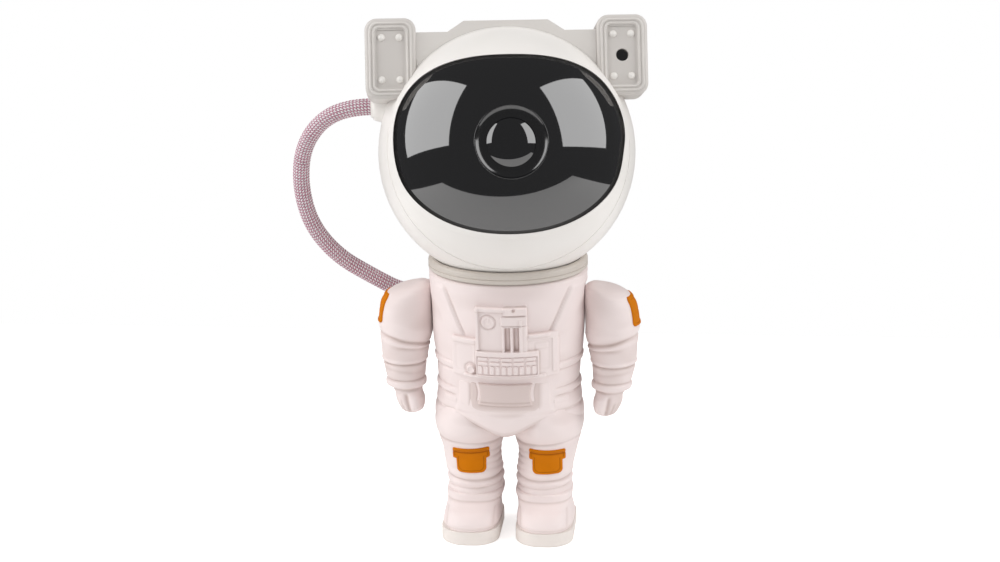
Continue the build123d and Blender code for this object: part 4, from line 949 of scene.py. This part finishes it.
def makeLeg(side):
    angle = aroundAngles(leg["columns"], leg["radius"])[None, :]
    z = rowHeights(leg, angle)
    centre, halfWidth, halfDepth, middle = throughTable(leg["sections"], z)
    x = side * centre + halfWidth * np.cos(angle)
    y = middle + halfDepth * np.sin(angle)
    out = legDetail(angle, z, side) + crease(y, 0.0, 0.3, torso["seam"])
    rings = np.stack([x + out * np.cos(angle), y + out * np.sin(angle), z], -1)
    # the thigh is in shade just under the body's hem
    below = np.clip(hemHeight(np.abs(x)) - torso["curl"] - z, 0, None)
    shade = leg["shade"] * swell(below, 0, 1.5) * (1 - smoothStep(11.0, 17.5, np.abs(x)))
    # painted shade for the crease attribute: under the body's hem, and darker in the folds
    return ringForm(rings), withPoles(np.clip(shade - out * 0.7, 0, 1))


def makeBoot(side):
    angle = aroundAngles(boot["columns"], boot["radius"])[None, :]
    z = rowHeights(boot, angle)
    centre, halfWidth, halfDepth, middle = throughTable(boot["sections"], z)
    power = 2 / boot["power"]
    cosine = np.sign(np.cos(angle)) * np.abs(np.cos(angle)) ** power
    sine = np.sign(np.sin(angle)) * np.abs(np.sin(angle)) ** power
    x = side * centre + halfWidth * cosine
    y = middle + halfDepth * sine
    front = (sine < 0).astype(float)
    # a toe panel, a welt line above the sole and a rolled collar
    local = x - side * centre
    out = front * 0.4 * padEdge(local, z, boot["toePanel"], 0.9, 1.8)
    out += crease(np.abs(local), boot["toeSide"], 0.5, 0.3) * front * band(z, 8, 14.5, 1.0)
    out += crease(z, boot["welt"], 0.35, 0.3) + crease(z, boot["rolledCollar"], 0.45, 0.45)
    out += crease(y, 0.0, 0.3, torso["seam"]) + 0.05 * rippled(angle, z, 0.7)
    # outwards from the boot's long oval
    away = np.stack([cosine * 12, sine * 18], -1)
    away = away / np.linalg.norm(away, axis=-1, keepdims=True)
    rings = np.stack([x + out * away[..., 0], y + out * away[..., 1], z], -1)
    # painted shade for the crease attribute: darker in the grooves
    return ringForm(rings), withPoles(np.clip(-out * 0.8, 0, 1))


def halfOf(mesh, name, keepFront):
    # cuts the suit along its side seam and closes the cut
    work = bmesh.new()
    work.from_mesh(mesh)
    geometry = work.verts[:] + work.edges[:] + work.faces[:]
    bmesh.ops.bisect_plane(work, geom=geometry, dist=1e-7, plane_co=(0, 0, 0), plane_no=(0, 1, 0),
                           clear_outer=keepFront, clear_inner=not keepFront)
    cutEdges = [edge for edge in work.edges if edge.is_boundary]
    bmesh.ops.holes_fill(work, edges=cutEdges, sides=0)
    bmesh.ops.recalc_face_normals(work, faces=work.faces)
    half = bpy.data.meshes.new(name)
    work.to_mesh(half)
    work.free()
    return half


def makeSuit():
    parts = [makeTorso()] + [make(side) for side in (-1, 1) for make in (makeLeg, makeBoot)]
    forms, depths = zip(*parts)
    whole = makeMesh("suit", forms, {"crease": np.concatenate(depths)})
    for name, node, keepFront in (("suitFront", "suit_front", True), ("suitBack", "suit_back", False)):
        fitPiece(makePiece(halfOf(whole, name, keepFront), "suitMattAbs", 50), "suit", "suit_white", node)
    print("suit halves made")


makeSuit()


# The chest unit, belly pouch and hip pockets, moulded on the front of the suit. Each form is a rounded
# box of left, right, low and high, with its edge's softness and its corners. One that sets levels the
# surface at its height over the body; one that adds raises or sinks what is there.
chest = {
    "width": (-28.4, 28.8), "height": (56.5, 111.6), "step": 0.25,
    "hidden": -0.7,
    "rear": 2.6,
    "hips": [
        ("set", 0.35, (14.6, 19.6, 60.0, 74.0), 1.2, 1.2),
        ("set", 0.15, (20.6, 27.0, 61.5, 65.8), 1.4, 1.2),
        ("add", 0.2, (20.6, 27.0, 64.0, 65.8), 0.6, 0.3),
    ],
    "forms": [
        # belly pad, and the line under its pouch
        ("set", 0.3, (-14.6, 15.2, 61.0, 76.4), 2.6, 2.6),
        ("add", -0.35, (-10.6, 11.8, 65.4, 66.2), 0.5, 0.3),
        # base plate, with its left and right boxes
        ("set", 1.9, (-22.3, 23.4, 77.0, 94.7), 0.5, 1.0),
        ("add", 0.6, (-21.8, -11.4, 92.4, 94.3), 0.5, 0.6),
        ("add", 0.55, (20.7, 22.9, 79.0, 96.8), 0.5, 0.5),
        ("set", 2.25, (10.4, 23.2, 94.4, 97.2), 0.4, 0.5),
        ("add", 0.6, (11.2, 19.8, 95.6, 96.9), 0.35, 0.4),
        ("add", -0.3, (13.0, 19.6, 80.4, 93.6), 0.9, 1.2),
        ("add", 0.25, (13.8, 18.8, 90.4, 92.4), 0.5, 0.4),
        ("add", -0.25, (-20.6, -12.6, 79.4, 91.6), 0.9, 1.6),
        # tower with its thin frame and blocks, then its two slots and their bars
        ("set", 2.2, (-11.4, 10.8, 88.0, 109.3), 0.45, 0.6),
        ("add", 1.0, (-11.3, -9.7, 90.0, 109.2), 0.35, 0.4),
        ("add", 1.0, (-11.3, 1.0, 107.7, 109.2), 0.35, 0.4),
        ("add", 1.0, (0.8, 10.6, 106.2, 110.7), 0.35, 0.5),
        ("add", 0.7, (-0.2, 10.5, 101.6, 105.6), 0.35, 0.5),
        ("add", 0.6, (0.2, 10.4, 89.4, 101.2), 0.35, 0.4),
        ("add", -2.6, (1.3, 3.5, 89.6, 100.6), 0.35, 0.3),
        ("add", -2.6, (4.9, 7.1, 89.6, 100.6), 0.35, 0.3),
        ("add", 0.5, (3.7, 4.6, 89.6, 100.6), 0.3, 0.2),
        ("add", 0.5, (7.5, 8.7, 89.6, 104.0), 0.3, 0.2),
        # keypad: a raised tray with a plain bar along its top
        ("set", 3.6, (-11.4, 15.2, 78.3, 89.6), 0.4, 0.8),
        ("add", -0.7, (-10.9, 14.7, 78.9, 87.4), 0.35, 0.6),
        # the shelf and its undercut
        ("add", -1.6, (-17.4, 18.2, 74.2, 76.6), 0.9, 0.9),
        ("add", 1.0, (-17.0, 18.0, 76.9, 78.5), 0.6, 0.6),
    ],
    # middle, half width, height at which it narrows, and by how much
    "pouch": (0.6, 11.6, (64.5, 74.5), 1.1),
    # round forms as across, up, and steps of height, radius it is full to and radius it ends at: the
    # screw's hole, the dial with its bevelled rim, and the knob, hollowed at its middle
    "rounds": [
        (5.2, 108.6, [(-1.4, 0.55, 0.95)]),
        (-5.7, 103.0, [(-0.45, 3.4, 3.8), (0.75, 2.6, 3.1), (-0.3, 1.6, 2.0)]),
        (-13.7, 80.8, [(1.9, 1.5, 2.0), (-0.35, 0.9, 1.4)]),
    ],
    "pointer": (-6.0, -5.4, 103.0, 104.8),
    # across, up and radius of the groove round the knob
    "groove": (-13.7, 80.8, 2.6),
    "belly": (-15.0, 15.6, 62.0, 76.0),
}


def chestRise(x, z):
    rise = np.full(x.shape, chest["hidden"])
    hips = [(way, height, (*sorted((side * left, side * right)), low, high), edge, corner)
            for side in (-1, 1) for way, height, (left, right, low, high), edge, corner in chest["hips"]]
    for way, height, box, edge, corner in hips + chest["forms"]:
        mask = padEdge(x, z, box, edge, corner)
        rise = rise * (1 - mask if way == "set" else 1) + height * mask
    # the pouch is pinched at half its height, with a bracket cut in beside it
    middle, halfWidth, (low, high), pinch = chest["pouch"]
    halfWidth = halfWidth - pinch * np.sin(np.clip((z - low) / (high - low), 0, 1) * math.pi)
    rise += band(x - middle, -halfWidth, halfWidth, 0.8) * band(z, 64.6, 74.4, 0.8)
    for side in (-1, 1):
        rise += crease(x - middle, side * (halfWidth + 0.75), 0.5, 0.9) * band(z, 66.3, 73.8, 1.2)
    for middleX, middleZ, steps in chest["rounds"]:
        reach = np.hypot(x - middleX, z - middleZ)
        for height, full, end in steps:
            rise += height * (1 - smoothStep(full, end, reach))
    rise += 0.35 * padEdge(x, z, chest["pointer"], 0.3, 0.2)
    grooveX, grooveZ, radius = chest["groove"]
    return rise + crease(np.hypot(x - grooveX, z - grooveZ), radius, 0.45, 0.5)


def makeChest():
    step = chest["step"]
    x, z = np.meshgrid(np.arange(*chest["width"], step), np.arange(*chest["height"], step))
    rise = chestRise(x, z)
    # the outermost row dips into the body, so the piece closes inside it
    rim = np.ones(rise.shape, bool)
    rim[1:-1, 1:-1] = False
    rise = np.where(rim, np.minimum(rise, chest["hidden"]), rise)
    skin = torsoSkin(x, z)
    slab = slabForm(np.stack([x, skin - rise, z], -1), np.stack([x, skin + chest["rear"], z], -1))
    # what lies lower than its neighbourhood gathers shade, and so does the belly under the shelf
    soft = rise.copy()
    for _ in range(6):
        soft[1:-1, 1:-1] = (soft[:-2, 1:-1] + soft[2:, 1:-1] + soft[1:-1, :-2] + soft[1:-1, 2:]) / 4
    depth = np.clip((soft - rise) * 1.1, 0, 0.65) + 0.45 * padEdge(x, z, chest["belly"], 3.0, 3.0)
    piece = makePiece(makeMesh("chestUnit", [slab], {"crease": withUnderside(depth)}), "suitMattAbs")
    fitPiece(piece, "suit", "suit_white")
    print("chest unit made")


makeChest()


# Arms down to the gloves, flat where they meet the body. Sections are as on the legs, and angles are
# in degrees, nought outwards and growing towards the back.
arm = {
    "sections": [
        (110.6, 39.4, 3.4, 4.6, 0.0), (109.6, 40.6, 6.6, 8.0, 0.0), (107.6, 42.2, 9.4, 10.6, 0.0),
        (104.5, 43.3, 10.9, 12.0, 0.0), (100.0, 44.1, 11.5, 12.5, 0.0), (94.0, 44.6, 11.5, 12.4, 0.0),
        (86.0, 44.9, 10.9, 11.8, -0.5), (76.0, 45.4, 9.4, 10.4, -1.5), (69.5, 44.9, 8.3, 9.4, -2.6),
        (66.2, 44.5, 7.8, 9.0, -3.0), (64.6, 44.0, 6.4, 7.6, -3.4), (60.0, 43.0, 6.2, 7.4, -4.0),
        (57.0, 42.4, 5.4, 6.6, -4.4), (54.8, 42.1, 3.8, 4.8, -4.6), (53.8, 42.0, 1.6, 2.2, -4.6),
    ],
    "columns": 200, "rows": 190, "crowding": 0.035,
    "inner": 33.2,
    "climb": 1.6,
    "shade": 0.2,
    "elbow": 87.4, "elbowInner": 84.2, "ringSeam": 76.6, "forearm": 73.6,
    "cuff": (66.3, 68.9),
    # angle, width round the arm, depth, and lowest, highest and edge of the thumb, which is raised, of
    # the crease beside it and of the lines between the fingers
    "hand": [
        (242, 0.42, -2.1, 56.0, 63.6, 3.2), (272, 0.16, 1.0, 55.4, 63.2, 2.4),
        (300, 0.09, 0.35, 54.6, 60.5, 2.0), (322, 0.09, 0.35, 54.6, 60.5, 2.0),
        (344, 0.09, 0.35, 54.6, 60.5, 2.0),
    ],
}


def armDetail(angle, z, side):
    outer = np.cos(angle)
    front = np.clip(-np.sin(angle), 0, 1)
    wave = rippled(angle, z, 3.3 * side)
    elbow, elbowInner = arm["elbow"], arm["elbowInner"]
    out = 0.12 * wave
    out += crease(z, elbow + 2.6 * outer + 0.25 * wave, 0.8, 0.95) * (1 - 0.45 * smoothStep(0.3, 1, outer))
    out += crease(z, elbowInner + 1.2 * outer + 0.2 * wave, 0.65, 0.6) * (1 - smoothStep(-0.1, 0.6, outer))
    # the cloth swells between the two folds and above them
    out += 0.45 * swell(z, elbow - 1.7 + 1.9 * outer, 1.0) * (1 - 0.6 * smoothStep(0, 1, outer))
    out += 0.4 * swell(z, elbow + 4.1 + 2.0 * outer, 2.2)
    # ring seam with a lip above it, a forearm fold, then the cuff and the glove's edge
    seam, (cuffLow, cuffHigh) = arm["ringSeam"], arm["cuff"]
    out += crease(z, seam, 0.5, 0.75) + 0.4 * swell(z, seam + 1.3, 0.8)
    out += crease(z, arm["forearm"] + 0.8 * outer, 0.7, 0.3) * front
    out += 0.55 * band(z, cuffLow, cuffHigh, 0.7)
    out += crease(z, cuffHigh + 0.6, 0.45, 0.5) + crease(z, cuffLow - 1.0, 0.55, 0.5)
    for turned, width, depth, low, high, edge in arm["hand"]:
        out += crease(angle, math.radians(turned), width, depth) * band(z, low, high, edge)
    return out


def armSkin(side, angle, z, grow):
    centre, halfWidth, halfDepth, middle = throughTable(arm["sections"], z)
    x = centre + (halfWidth + grow) * np.cos(angle)
    y = middle + (halfDepth + grow) * np.sin(angle)
    x = np.where(z < torso["flatTop"], np.maximum(x, arm["inner"]), x)
    # the shoulder climbs a little towards the body
    z = z + arm["climb"] * (1 - np.cos(angle)) / 2 * smoothStep(98, 108, z)
    return np.stack([side * x, y, z], -1)


def makeArm(side, name):
    # rows crowd towards both ends, where the form closes
    share = np.linspace(0, 1, arm["rows"])
    share = share - arm["crowding"] * np.sin(2 * math.pi * share)
    top = arm["sections"][0][0]
    foot = arm["sections"][-1][0]
    angle = evenAngles(arm["columns"])[None, :]
    z = (top + (foot - top) * share)[:, None] * np.ones(angle.shape)
    out = armDetail(angle, z, side) * smoothStep(foot, foot + 1.5, z) * (1 - smoothStep(top - 3, top, z))
    # the head keeps the light off the arms, more so lower down
    shade = arm["shade"] * (1 - 0.7 * smoothStep(foot + 20, top - 8, z))
    # painted shade for the crease attribute: the head's shadow, and darker in the folds
    mesh = makeMesh("arm" + name.capitalize(), [ringForm(armSkin(side, angle, z, out))],
                    {"crease": withPoles(np.clip(shade - out * 0.6, 0, 1))})
    fitPiece(makePiece(mesh, "suitMattAbs"), "suit", "suit_white", "arm_" + name)


for side, name in ((-1, "left"), (1, "right")):
    makeArm(side, name)
print("arms made")


# Orange patches: a thin badge with a sewn border. Boxes are left, right, low and high.
patch = {
    "thick": 0.65, "edge": -0.5, "dish": 0.22, "sunk": 1.6, "border": 1.1, "step": 0.25,
    "kneeGrid": ((-9.2, 9.21), (29.0, 42.81)), "shoulderGrid": ((-9.4, 9.41), (92.3, 107.9)),
    "kneeX": 16.5, "kneeShift": 0.6, "kneeHead": (-7.5, 8.1, 36.4, 41.8), "kneeTail": (-6.0, 6.7, 29.9, 40.0),
    "kneeFold": 39.7,
    "shoulderBox": (-7.8, 7.8, 94.4, 107.0), "shoulderFold": 100.0, "shoulderRadius": 12.2,
}


def kneeOutline(u, v, inset):
    left, right, low, high = patch["kneeHead"]
    head = padEdge(u, v, (left + inset, right - inset, low, high - inset), 0.4, 0.8) * (v > low + inset)
    left, right, low, high = patch["kneeTail"]
    return np.maximum(head, padEdge(u, v, (left + inset, right - inset, low + inset, high), 0.4, 2.0))


def shoulderOutline(u, v, inset):
    left, right, low, high = patch["shoulderBox"]
    return padEdge(u, v, (left + inset, right - inset, low + inset, high - inset), 0.4, 1.6)


def badgeRise(u, v, outline):
    # outline gives one inside and falls to nought at the edge
    inner = outline(u, v, patch["border"])
    rise = patch["edge"] + (patch["thick"] - patch["edge"]) * outline(u, v, 0.0) - patch["dish"] * inner
    # the second value is painted shade along the border's inner edge
    return rise, np.clip(inner * (1 - inner) * 4 * 0.8, 0, 1)


def makeBadge(name, skin, base, rise, line, node):
    mesh = makeMesh(name, [slabForm(skin(base + rise), skin(base - patch["sunk"]))],
                    {"crease": withUnderside(line)})
    fitPiece(makePiece(mesh, "patchOrange"), "suit", "patch_orange", node)


def makeKneePatch(side, name):
    u, v = np.meshgrid(*(np.arange(*span, patch["step"]) for span in patch["kneeGrid"]))
    centre, halfWidth, halfDepth, middle = throughTable(leg["sections"], v)
    local = (side * patch["kneeX"] + patch["kneeShift"] + u - side * centre) / halfWidth
    angle = -np.arccos(np.clip(local, -0.99, 0.99))
    base = np.clip(legDetail(np.mod(angle, 2 * math.pi), v, side), -0.25, 0.6)
    rise, line = badgeRise(u, v, kneeOutline)
    # a fold line across the badge's head
    rise += crease(v, patch["kneeFold"], 0.35, 0.3)
    # painted shade along the fold
    line = np.maximum(line, 0.8 * swell(v, patch["kneeFold"], 0.4))

    def skin(out):
        return np.stack([side * centre + (halfWidth + out) * np.cos(angle),
                         middle + (halfDepth + out) * np.sin(angle), v], -1)

    makeBadge("kneePatch" + name.capitalize(), skin, base, rise, line, "knee_patch_" + name)


def makeShoulderPatch(side, name):
    u, v = np.meshgrid(*(np.arange(*span, patch["step"]) for span in patch["shoulderGrid"]))
    # u runs round the arm, so the badge keeps its width over the shoulder
    angle = u / patch["shoulderRadius"]
    base = np.clip(armDetail(np.mod(angle, 2 * math.pi), v, side), -0.2, 0.6)
    rise, line = badgeRise(u, v, shoulderOutline)
    rise += crease(v, patch["shoulderFold"], 0.3, 0.22) * (np.abs(u) < 7)
    makeBadge("shoulderPatch" + name.capitalize(), lambda out: armSkin(side, angle, v, out), base, rise, line,
              "shoulder_patch_" + name)


for side, name in ((-1, "left"), (1, "right")):
    makeKneePatch(side, name)
    makeShoulderPatch(side, name)
print("patches made")


# Keys in the keypad's tray: two rows of wide caps over one row of tall ones
keypad = {
    "proud": 3.65, "corner": 0.5, "middle": 1.9,
    # a cap's profile from its foot up: inset from its edge, and height
    "cap": ((0, -1.8), (0, -0.35), (0.1, -0.1), (0.25, 0), (0.5, 0), (0.7, -0.06)),
    "rows": {
        # columns, rows, pitch across, pitch up, cap width, cap height, middle height
        "keysUpper": (5, 2, 5.06, 2.05, 4.25, 1.5, 85.3),
        "keysLower": (10, 1, 2.53, 1.0, 1.85, 3.8, 81.2),
    },
}


def makeKeys(name):
    # one key cap, lying flat, built as a rounded pad
    columns, rows, pitchX, pitchZ, width, height, middle = keypad["rows"][name]
    rings = []
    for inset, lift in keypad["cap"]:
        outline = roundedOutline(width / 2 - inset, height / 2 - inset, max(keypad["corner"] - inset, 0.1), 5)
        rings.append(np.column_stack([outline, np.full(len(outline), lift)]))

    def place(x, z, out):
        x = x + keypad["middle"]
        z = z + middle
        return np.stack([x, torsoSkin(x, z) - keypad["proud"] - out, z], 1)

    keys = repeatCap(name, ringForm(np.array(rings)), "suitMattAbs", (columns, rows), (pitchX, pitchZ), place)
    fitPiece(keys, "suit", "suit_white")


for name in keypad["rows"]:
    makeKeys(name)
print("keys made")


# Floor, backdrop and lamps
stage = {
    # a table top's corners, near ones first; the visor mirrors its edges
    "floor": ((-470, -358), (716, -358), (336, 300), (-367, 300)),
    "floorTone": "#f2f1f0",
    "floorCamera": 0.41,
    "floorGlossy": -0.07,
    "floorAll": 0.14,
    "worldCamera": 1.0,
    "worldGlossy": 0.1,
    "worldOther": 0.4,
}
lamps = {
    # name: place in mm, aim in mm, roll in degrees, width, height, power in W, seen in gloss
    "leftBox": ((-742, -81, 543), (0, 196, 116), 23.6, 787, 772, 4.5, True),
    "rightBox": ((724, 16, 585), (-29, 252, 152), -14.1, 793, 773, 4.4, True),
    "frontBox": ((60, -1400, 120), (0, 0, 40), 0, 900, 300, 1.5, False),
    "topBox": ((-330, -650, 950), (0, 0, 90), 0, 600, 400, 2.3, False),
}


def makeFloor():
    mesh = bpy.data.meshes.new("floor")
    mesh.from_pydata([(x * mm, y * mm, 0) for x, y in stage["floor"]], [], [(0, 1, 2, 3)])
    floor = bpy.data.objects.new("floor", mesh)
    scene.collection.objects.link(floor)
    material, tree, shader = newMaterial("paperFloor", {
        "Base Color": stage["floorTone"], "Roughness": 0.9, "Emission Color": "#ffffff",
    })
    # the camera sees white paper; the shadow under the boots still darkens it
    path = addNode(tree, "ShaderNodeLightPath")
    mirrored = addNode(tree, "ShaderNodeMath", {"operation": "MULTIPLY"}, {1: stage["floorGlossy"]},
                       {0: path.outputs["Is Glossy Ray"]})
    lit = addNode(tree, "ShaderNodeMath", {"operation": "MULTIPLY_ADD"}, {1: stage["floorCamera"]},
                  {0: path.outputs["Is Camera Ray"], 2: mirrored.outputs[0]})
    glow = addNode(tree, "ShaderNodeMath", {"operation": "ADD"}, {1: stage["floorAll"]}, {0: lit.outputs[0]})
    tree.links.new(glow.outputs[0], shader.inputs["Emission Strength"])
    mesh.materials.append(material)


def makeWorld():
    world = bpy.data.worlds.new("studio")
    scene.world = world
    world.use_nodes = True
    tree = world.node_tree
    background = tree.nodes["Background"]
    fillSocket(background.inputs["Color"], "#ffffff")
    path = addNode(tree, "ShaderNodeLightPath")
    # gloss mirrors the dark far end of the studio
    indirect = addNode(tree, "ShaderNodeMapRange", values={
        "To Min": stage["worldOther"], "To Max": stage["worldGlossy"],
    }, links={"Value": path.outputs["Is Glossy Ray"]})
    strength = addNode(tree, "ShaderNodeMapRange", values={"To Max": stage["worldCamera"]}, links={
        "Value": path.outputs["Is Camera Ray"], "To Min": indirect.outputs["Result"],
    })
    tree.links.new(strength.outputs["Result"], background.inputs["Strength"])


def makeLamps():
    for name, (spot, aim, roll, width, height, power, mirrored) in lamps.items():
        data = bpy.data.lights.new(name, "AREA")
        data.shape = "RECTANGLE"
        data.size = width * mm
        data.size_y = height * mm
        data.energy = power
        lamp = bpy.data.objects.new(name, data)
        scene.collection.objects.link(lamp)
        lamp.location = Vector(spot) * mm
        facing = (Vector(aim) - Vector(spot)).to_track_quat("-Z", "Y").to_matrix()
        lamp.rotation_euler = (facing @ Matrix.Rotation(math.radians(roll), 3, "Z")).to_euler()
        lamp.visible_glossy = mirrored


makeFloor()
makeWorld()
makeLamps()
print("stage lit")
